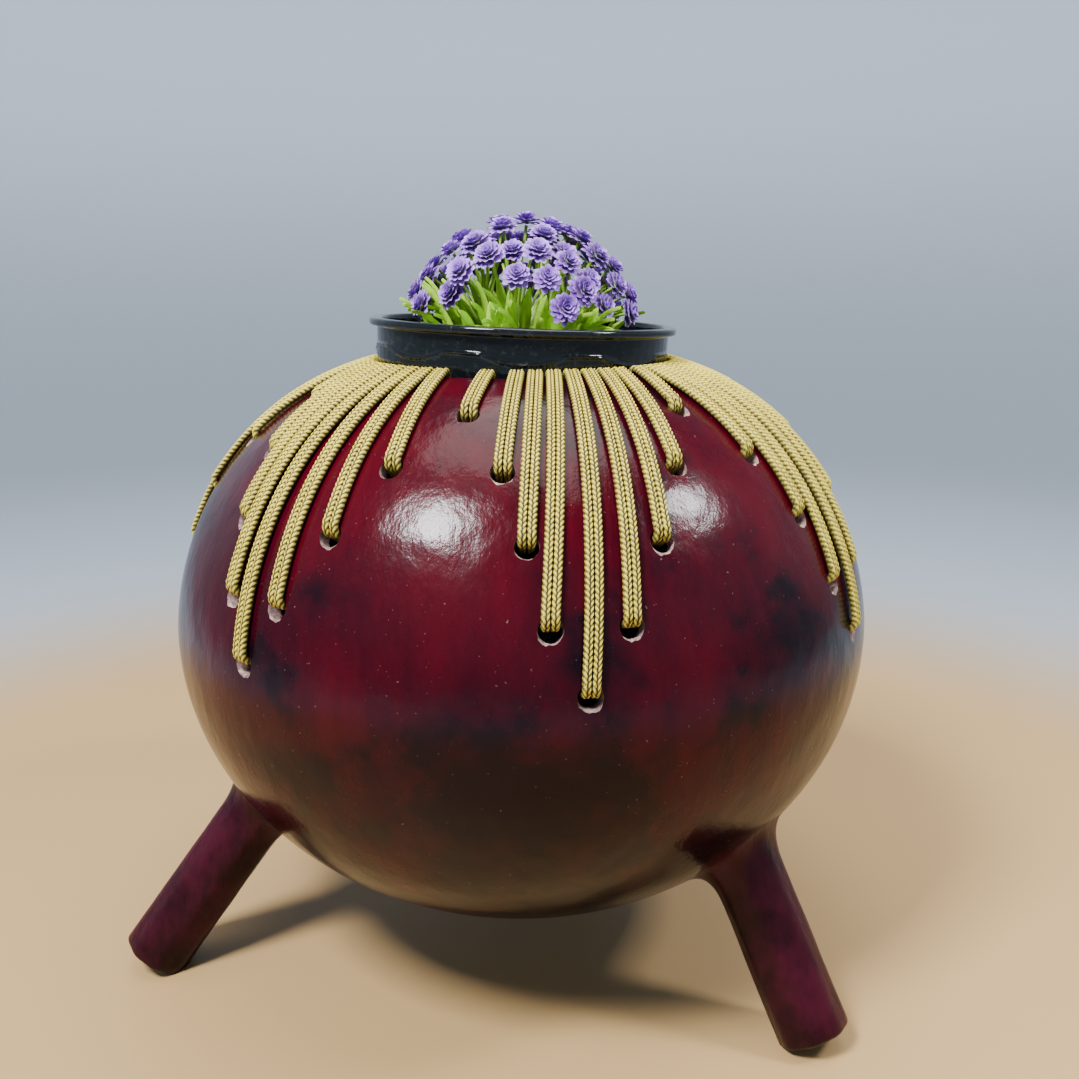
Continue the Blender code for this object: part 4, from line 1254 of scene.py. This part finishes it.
def make_putty(name, place, seed):
    """The smoothed filler round the top of a leg: a closed ring with a hollow face."""
    axis = place.col[2].xyz.normalized()
    rows = []
    for angle in ring_angles(LEG_SEGMENTS):
        ray = (place.to_3x3() @ spoke(angle)).normalized()
        start = place @ (dowel_radius(angle, seed) * spoke(angle))
        corner = start + skin_distance(start, axis, LEG_REACH) * axis
        lump = ring_noise(angle, 1.4, seed)
        foot = corner - PUTTY_BELOW * (1.0 + PUTTY_LUMPS[0] * lump) * axis + PUTTY_ON_LEG * ray
        edge = on_skin(corner + PUTTY_REACH * (1.0 + PUTTY_LUMPS[1] * lump) * ray)
        out = (edge - GOURD_MIDDLE).normalized()
        ring = [edge - PUTTY_EDGE_SINK * out]
        for row in range(PUTTY_ROWS - 1, -1, -1):
            share = row / PUTTY_ROWS
            spot = curve(foot, corner, ring[0], share)
            skin = on_skin(spot) + PUTTY_FILM * (1.0 - share) * out
            buried = (spot - GOURD_MIDDLE).length < (skin - GOURD_MIDDLE).length
            ring.append(skin if buried else spot)
        inner_corner = corner - PUTTY_INSET * ray - PUTTY_INSET * out
        rows.append([foot - PUTTY_INSET * ray, inner_corner, edge - PUTTY_ROOT * out] + ring)
    soup = Soup()
    soup.loft(rows + rows[:1], capped=False)
    return soup.to_mesh(name, 60.0, close_ring)


class PLANTER_OT_legs(bpy.types.Operator):
    """Build the three painted dowel legs and the putty round their tops"""
    bl_idname = "planter.legs"
    bl_label = "Legs and putty"

    def execute(self, context):
        leg_paint = paint_material("leg_paint", 0.36)
        putty_paint = paint_material("putty_paint", 0.30)
        for number, (name, *stance) in enumerate(LEGS):
            place = leg_frame(*stance)
            seed = LEG_SEED_STEP * number
            dowel = make_dowel("dowel_" + name, place, seed)
            filler = make_putty("filler_" + name, place, seed)
            for mesh, paint, slot in ((dowel, leg_paint, "leg"), (filler, putty_paint, "putty")):
                mesh.transform(GOURD_SEAT)
                keep(add_object(mesh), [paint], slot, slot + "_" + name)
        return {"FINISHED"}


def pot_seat():
    """Matrix from the pot's own frame to the planter's."""
    place = Matrix.Translation((AXIS_X, AXIS_Y, mouth_edges()[0].y))
    return place @ Matrix.Rotation(math.radians(POT_TILT_DEG), 4, "Y")


def pot_inner_radius(height):
    """Radius of the pot's inner face, below its lip."""
    if height > POT_BAND_BOTTOM:
        share = (height - POT_BAND_BOTTOM) / (POT_LIP_TOP - POT_BAND_BOTTOM)
        return POT_MOUTH_RADIUS + (POT_BAND_RADIUS - POT_MOUTH_RADIUS) * share - POT_WALL
    share = (height - POT_BOTTOM) / (POT_BAND_BOTTOM - POT_BOTTOM)
    top = POT_MOUTH_RADIUS - POT_STEP - POT_WALL
    bottom = POT_FLOOR_RADIUS - POT_WALL
    return bottom + (top - bottom) * share


def pot_profile():
    """Inside first, then over the rolled lip and down the outer side."""
    floor = POT_BOTTOM + POT_WALL
    profile = [(0.0, floor)]
    for i in range(CURVE_POINTS + 1):
        height = floor + (POT_INSIDE_TOP - floor) * i / CURVE_POINTS
        profile.append((pot_inner_radius(height), height))
    inner = POT_BAND_RADIUS - POT_WALL
    middle = 0.5 * (inner + POT_LIP_RADIUS)
    half = 0.5 * (POT_LIP_RADIUS - inner)
    for i in range(CURVE_POINTS + 1):
        angle = math.pi * (1.0 - i / CURVE_POINTS)
        height = POT_LIP_TOP - POT_LIP_ROLL + POT_LIP_ROLL * math.sin(angle)
        profile.append((middle + half * math.cos(angle), height))
    profile += [(radius, POT_LIP_UNDER + rise) for radius, rise in LIP_CORNERS]
    for i in range(POT_BAND_ROWS + 1):
        share = i / POT_BAND_ROWS
        radius = POT_BAND_RADIUS + (POT_MOUTH_RADIUS - POT_BAND_RADIUS) * share
        profile.append((radius, POT_BAND_TOP + (POT_BAND_BOTTOM - POT_BAND_TOP) * share))
    profile.append((POT_MOUTH_RADIUS - POT_STEP, POT_SHOULDER_Z))
    profile.append((POT_FLOOR_RADIUS, POT_BOTTOM + POT_FLOOR_ROUNDING))
    return profile + [(POT_FLOOR_RADIUS - POT_FLOOR_ROUNDING, POT_BOTTOM), (0.0, POT_BOTTOM)]


def scallop_line(angle):
    """Height of the moulded wavy line at an angle round the pot."""
    turn = (math.degrees(angle) + SCALLOP_TURN_DEG) % SCALLOP_PITCH_DEG / SCALLOP_PITCH_DEG
    share = turn / SCALLOP_SHARE
    dip = 4.0 * share * (1.0 - share) if share < 1.0 else 0.0
    return SCALLOP_Z - SCALLOP_DIP * dip


def moulding(angle, height):
    """How far the pot's wavy line, the part below it and the ribs stand out of its band."""
    gap = (height - scallop_line(angle)) / SCALLOP_LINE
    bead = math.exp(-gap * gap)
    below = 1.0 - 1.0 / (1.0 + math.exp(-3.0 * gap))
    under_lip = min(1.0, (MOULD_TOP - height) / MOULD_TOP_FADE)
    over_edge = min(1.0, max(0.0, (height - MOULD_BOTTOM) / MOULD_BOTTOM_FADE))
    ribs = RIB_RELIEF * math.cos(settings().pot.ribs * angle) * under_lip
    return SCALLOP_RELIEF * (SCALLOP_BEAD * bead + SCALLOP_LEDGE * below) * under_lip * over_edge + ribs


class PLANTER_OT_pot(bpy.types.Operator):
    """Mould the thin pot, with its rolled lip, its wavy line and its faint ribs, and fill it"""
    bl_idname = "planter.pot"
    bl_label = "Plastic pot"

    def execute(self, context):
        pot = turned("black_pot", pot_profile(), POT_SEGMENTS)
        for vert in pot.data.vertices:
            radius = math.hypot(vert.co.x, vert.co.y)
            on_band = POT_BAND_BOTTOM <= vert.co.z <= MOULD_TOP and radius >= POT_MOUTH_RADIUS - 0.0003
            if on_band:
                push = moulding(math.atan2(vert.co.x, -vert.co.y), vert.co.z)
                vert.co.x *= (radius + push) / radius
                vert.co.y *= (radius + push) / radius
        smooth(pot.data, 45.0)
        pot.data.transform(pot_seat())
        keep(pot, [plastic_material()], "pot", "plant_pot")
        self.fill()
        return {"FINISHED"}

    def fill(self):
        """The foam, crumbled on top."""
        edge = pot_inner_radius(FOAM_TOP) - FOAM_GAP
        profile = [(edge * i / FOAM_RINGS, FOAM_TOP) for i in range(FOAM_RINGS)]
        profile += [(edge - FOAM_EDGE, FOAM_TOP), (edge, FOAM_TOP - FOAM_EDGE_DROP)]
        profile += [(pot_inner_radius(FOAM_BOTTOM) - FOAM_EDGE, FOAM_BOTTOM), (0.0, FOAM_BOTTOM)]
        foam = turned("crumbled_foam", profile, FOAM_SEGMENTS)
        for vert in foam.data.vertices:
            if vert.co.z > FOAM_TOP - CRUMB_DEPTH:
                crumb = perlin.fractal(vert.co * CRUMB_WAVES, 0.8, 2.0, 4)
                vert.co.z += min(0.0, CRUMB_DEPTH * crumb - CRUMB_SINK)
        foam.data.shade_smooth()
        foam.data.transform(pot_seat())
        keep(foam, [foam_material()], "foam", "floral_foam")


def sector_of(azimuth_deg):
    return int(((azimuth_deg - SECTOR_START_DEG) % 360.0) * SPRAY_COUNT / 360.0)


def head_places():
    """Azimuth, polar angle and extra depth of each flower head on the dome."""
    draw = random.Random(FLOWER_SEED)
    golden = 180.0 * (3.0 - math.sqrt(5.0))
    places = []
    for i in range(HEAD_COUNT):
        share = (i + 0.5) / HEAD_COUNT
        polar = math.degrees(math.acos(1.0 - (1.0 - math.cos(math.radians(DOME_EDGE_DEG))) * share))
        azimuth = (i * golden + draw.uniform(-HEAD_SWING_DEG, HEAD_SWING_DEG) + 180.0) % 360.0 - 180.0
        depth = draw.uniform(0.0, HEAD_UNEVENNESS) + (DEEP_HEAD if i % DEEP_EVERY == 1 else 0.0)
        low, high = BARE_WINDOW_DEG
        if polar > BARE_POLAR_DEG and low < azimuth < high:
            continue
        places.append((azimuth, polar, depth))
    return places


def head_frame(azimuth, polar, depth):
    """Matrix of a head: its own +Z looks out of the dome, and its origin is under its petals."""
    tilt = math.radians(polar)
    out = around(azimuth, math.sin(tilt), math.cos(tilt))
    foot = around(azimuth, DOME_RADIUS * math.sin(tilt), DOME_CENTRE + DOME_HEIGHT * math.cos(tilt))
    return Matrix.Translation(foot - depth * out) @ out.to_track_quat("Z", "Y").to_matrix().to_4x4()


def petal_rows(length, width):
    """A thin cupped petal along +X, as rows of four points that end in its tip."""
    rows = []
    for share, breadth in PETAL_OUTLINE:
        x = length * share
        half = 0.5 * width * breadth
        curl = PETAL_CURL * length * share * share
        side = curl + PETAL_CUP * width * breadth
        top, bottom = curl + 0.5 * PETAL_THICKNESS, curl - 0.5 * PETAL_THICKNESS
        corners = ((x, -half, side), (x, 0.0, top), (x, half, side), (x, 0.0, bottom))
        rows.append([Vector(corner) for corner in corners])
    return rows


def head_model(draw):
    """One pompon head in its own frame, which knows how far along its petal each point is."""
    model = Soup("along")
    # Painted shade: each petal's underside stays darker than its top.
    along = np.outer([share for share, _ in PETAL_OUTLINE], (1.0, 1.0, 1.0, PETAL_UNDERSIDE_SHADE))
    for count, length, width, tilt, root_radius, root_height in PETAL_TIERS:
        for i in range(count):
            swing = draw.uniform(-PETAL_SWING, PETAL_SWING)
            azimuth = 2.0 * math.pi * (i + swing) / count + length * TIER_TURN
            rows = petal_rows(length * draw.uniform(*PETAL_STRETCH), width)
            lean = math.radians(tilt + draw.uniform(-PETAL_LEAN_DEG, PETAL_LEAN_DEG))
            root = Matrix.Translation((root_radius, 0.0, root_height))
            place = Matrix.Rotation(azimuth, 4, "Z") @ root @ Matrix.Rotation(-lean, 4, "Y")
            model.loft([[place @ corner for corner in row] for row in rows], along=along)
    return model


def tube_rows(path, radii, sides=6):
    """Rings of points round a path of vectors."""
    rows = []
    for i, (spot, radius) in enumerate(zip(path, radii)):
        way = path[min(i + 1, len(path) - 1)] - path[max(i - 1, 0)]
        turn = way.normalized().to_track_quat("Z", "Y").to_matrix()
        ring = []
        for angle in ring_angles(sides):
            ring.append(spot + turn @ Vector((radius * math.cos(angle), radius * math.sin(angle), 0.0)))
        rows.append(ring)
    return rows


def leaf_rows(foot, azimuth, lift, length, width):
    """A lance-shaped blade with a raised midrib, arching over towards its tip."""
    level = around(azimuth, 1.0, 0.0)
    side = sideways(azimuth)
    rows = []
    spot = foot.copy()
    for step in range(LEAF_STEPS + 1):
        share = step / LEAF_STEPS
        fullness = math.sin(math.pi * min(1.0, 0.10 + 0.90 * share)) ** 0.8
        breadth = 0.06 + 0.94 * fullness * (1.0 - 0.25 * share)
        half = 0.5 * width * breadth
        angle = math.radians(lift - 1.6 * LEAF_ARCH_DEG * share * share)
        along = level * math.cos(angle) + Vector((0.0, 0.0, math.sin(angle)))
        above = along.cross(side)
        above = above if above.z > 0.0 else -above
        cup = LEAF_CUP * half + LEAF_WAVE * math.sin(9.0 * share)
        outline = ((-1.0, cup),) + LEAF_UPPER + ((1.0, cup),) + LEAF_LOWER
        rows.append([spot + across * half * side + rise * above for across, rise in outline])
        spot = spot + along * (length / LEAF_STEPS)
    return rows


class PLANTER_OT_flowers(bpy.types.Operator):
    """Build the seven sprays, with their layered pompon heads, thin stems and leaves"""
    bl_idname = "planter.flowers"
    bl_label = "Flower sprays"

    def execute(self, context):
        materials = [petal_material(), green_material()]
        draw = random.Random(FLOWER_SEED + 1)
        models = [head_model(draw) for _ in range(HEAD_MODELS)]
        for sector in range(SPRAY_COUNT):
            middle = SECTOR_START_DEG + (sector + 0.5) * 360.0 / SPRAY_COUNT
            heads = [place for place in head_places() if sector_of(place[0]) == sector]
            soup = Soup("along", "rib", "tone")
            self.add_heads(soup, heads, models, draw)
            petal_faces = len(soup.faces)
            self.add_stems(soup, heads, middle, draw)
            self.add_leaves(soup, middle, draw)
            mesh = soup.to_mesh("spray_%d" % (sector + 1), 60.0)
            indices = [0] * petal_faces + [1] * (len(soup.faces) - petal_faces)
            mesh.polygons.foreach_set("material_index", indices)
            mesh.transform(pot_seat())
            keep(add_object(mesh), materials, "flower", "flower_spray_%d" % (sector + 1))
        return {"FINISHED"}

    def add_heads(self, soup, heads, models, draw):
        """A copy of one of the head models at each place, turned and sized at random."""
        for azimuth, polar, depth in heads:
            model = models[draw.randrange(len(models))]
            size = draw.uniform(*HEAD_SIZES)
            spin = Matrix.Rotation(draw.uniform(0.0, 6.28), 4, "Z")
            place = head_frame(azimuth, polar, depth + HEAD_SINK) @ spin
            soup.add_copy(model, place, size, tone=draw.random())

    def add_stems(self, soup, heads, middle, draw):
        """The main stem, and a thin one from its fork to each head."""
        foot = around(middle, SPRAY_RADIUS, SPRAY_FOOT)
        fork = around(middle, SPRAY_RADIUS, SPRAY_FORK)
        trunk = [foot.lerp(fork, row / (TRUNK_ROWS - 1)) for row in range(TRUNK_ROWS)]
        soup.loft(tube_rows(trunk, [MAIN_STEM_RADIUS] * TRUNK_ROWS, TRUNK_SIDES), rib=1.0, tone=0.5)
        radii = [STEM_RADIUS - STEM_TAPER * row / STEM_ROWS for row in range(STEM_ROWS)] + [CROWN_RADIUS]
        for number, (azimuth, polar, depth) in enumerate(heads):
            place = head_frame(azimuth, polar, depth)
            root = fork - Vector((0.0, 0.0, FORK_SPACING * (0.5 + number)))
            crown = place @ Vector((0.0, 0.0, CROWN_HEIGHT))
            pull = place @ Vector((0.0, 0.0, -STEM_PULL))
            path = [curve(root, pull, crown, row / STEM_ROWS) for row in range(STEM_ROWS + 1)]
            soup.loft(tube_rows(path, radii), rib=0.6, tone=draw.random(), along=0.4)

    def add_leaves(self, soup, middle, draw):
        """The four leaves of the solids, and more between them, most where the dome is bare."""
        blades = []
        for i, (turn, lift, length) in enumerate(LEAVES):
            base = around(middle, SPRAY_RADIUS, LEAF_FOOT + LEAF_SPACING * i)
            blades.append((base, middle + turn, lift, length, LEAF_WIDTH))
        window = 0.5 * sum(BARE_WINDOW_DEG)
        beside = abs((middle - window + 180.0) % 360.0 - 180.0) < WINDOW_REACH_DEG
        for _ in range(EXTRA_LEAVES + (WINDOW_LEAVES if beside else 0)):
            radius = SPRAY_RADIUS + draw.uniform(*EXTRA_RADII)
            base = around(middle + draw.uniform(*EXTRA_PLACES_DEG), radius, EXTRA_FOOT)
            lift = draw.uniform(*EXTRA_LIFTS_DEG)
            room = (LEAF_REACH - radius) / math.cos(math.radians(0.6 * lift))
            length = min(draw.uniform(*EXTRA_LENGTHS) + (WINDOW_STRETCH if beside else 0.0), room)
            width = min(draw.uniform(*EXTRA_WIDTHS), LEAF_SLIMNESS * length)
            blades.append((base, middle + draw.uniform(*EXTRA_TURNS_DEG), lift, length, width))
        rib = LEAF_RIB * np.array(LEAF_RIB_SHARES)
        along = np.linspace(0.0, 1.0, LEAF_STEPS + 1)[:, None]
        for blade in blades:
            soup.loft(leaf_rows(*blade), along=along, rib=rib, tone=draw.random())


def area_light(name, power, azimuth, elevation, distance, size, colour):
    """A soft square light that looks at the gourd's shoulder."""
    rise = math.radians(elevation)
    way = around(azimuth, math.cos(rise), math.sin(rise))
    data = bpy.data.lights.new(name, "AREA")
    data.energy = power
    data.size = size
    data.color = colour
    light = bpy.data.objects.new(name, data)
    light.location = LIGHT_TARGET + distance * way
    light.rotation_mode = "QUATERNION"
    light.rotation_quaternion = way.to_track_quat("Z", "Y")
    bpy.context.scene.collection.objects.link(light)


def cove_profile():
    """Flat floor, a round bend and an upright backdrop, from the top down."""
    profile = [(0.1 * i, 0.0) for i in range(12)]
    for i in range(13):
        angle = 0.5 * math.pi * i / 12
        radius = COVE_RADIUS - COVE_BEND + COVE_BEND * math.sin(angle)
        profile.append((radius, COVE_BEND - COVE_BEND * math.cos(angle)))
    return [(COVE_RADIUS, COVE_HEIGHT)] + profile[::-1]


class PLANTER_OT_studio(bpy.types.Operator):
    """Set up the pale cove, the soft lights and the camera"""
    bl_idname = "planter.studio"
    bl_label = "Studio"

    def execute(self, context):
        look = settings().studio
        cove = turned("cove", cove_profile(), COVE_SEGMENTS)
        cove.data.shade_smooth()
        cove.data.materials.append(cove_material())
        for name, power, *setup in LIGHTS:
            area_light(name, getattr(look, power), *setup)
        world = bpy.data.worlds.new("room")
        world.use_nodes = True
        background = world.node_tree.nodes["Background"]
        background.inputs["Color"].default_value = ROOM_COLOUR
        background.inputs["Strength"].default_value = look.room
        context.scene.world = world
        self.make_camera(context)
        return {"FINISHED"}

    def make_camera(self, context):
        data = bpy.data.cameras.new("camera")
        data.lens = LENS_MM
        data.sensor_width = SENSOR_MM
        camera = bpy.data.objects.new("camera", data)
        camera.location = CAMERA_PLACE
        camera.rotation_euler = (math.radians(90.0 - CAMERA_PITCH_DEG), 0.0, 0.0)
        context.scene.collection.objects.link(camera)
        context.scene.camera = camera


OPERATORS = (
    PLANTER_OT_studio,
    PLANTER_OT_shell,
    PLANTER_OT_lacing,
    PLANTER_OT_legs,
    PLANTER_OT_pot,
    PLANTER_OT_flowers,
)


class PlanterSettings(bpy.types.PropertyGroup):
    """All the settings of the planter."""
    gourd: PointerProperty(type=GourdSettings)
    lacing: PointerProperty(type=LacingSettings)
    pot: PointerProperty(type=PotSettings)
    flowers: PointerProperty(type=FlowerSettings)
    studio: PointerProperty(type=StudioSettings)


class PLANTER_PT_parts(bpy.types.Panel):
    """The planter's settings and the buttons that build its pieces"""
    bl_idname = "PLANTER_PT_parts"
    bl_label = "Gourd planter"
    bl_space_type = "VIEW_3D"
    bl_region_type = "UI"
    bl_category = "Gourd"

    def draw(self, context):
        for operator in OPERATORS:
            self.layout.operator(operator.bl_idname)
        for name, group in SETTINGS:
            box = self.layout.box()
            box.label(text=name.capitalize())
            for prop in group.__annotations__:
                box.prop(getattr(settings(), name), prop)


CLASSES = tuple(group for _, group in SETTINGS) + (PlanterSettings,) + OPERATORS + (PLANTER_PT_parts,)


def register():
    for cls in CLASSES:
        bpy.utils.register_class(cls)
    bpy.types.Scene.gourd_planter = PointerProperty(type=PlanterSettings)


def unregister():
    del bpy.types.Scene.gourd_planter
    for cls in reversed(CLASSES):
        bpy.utils.unregister_class(cls)


def main():
    register()
    bpy.ops.planter.studio()
    bpy.ops.planter.shell()
    bpy.ops.planter.lacing()
    bpy.ops.planter.legs()
    bpy.ops.planter.pot()
    bpy.ops.planter.flowers()


if __name__ == "__main__":
    main()
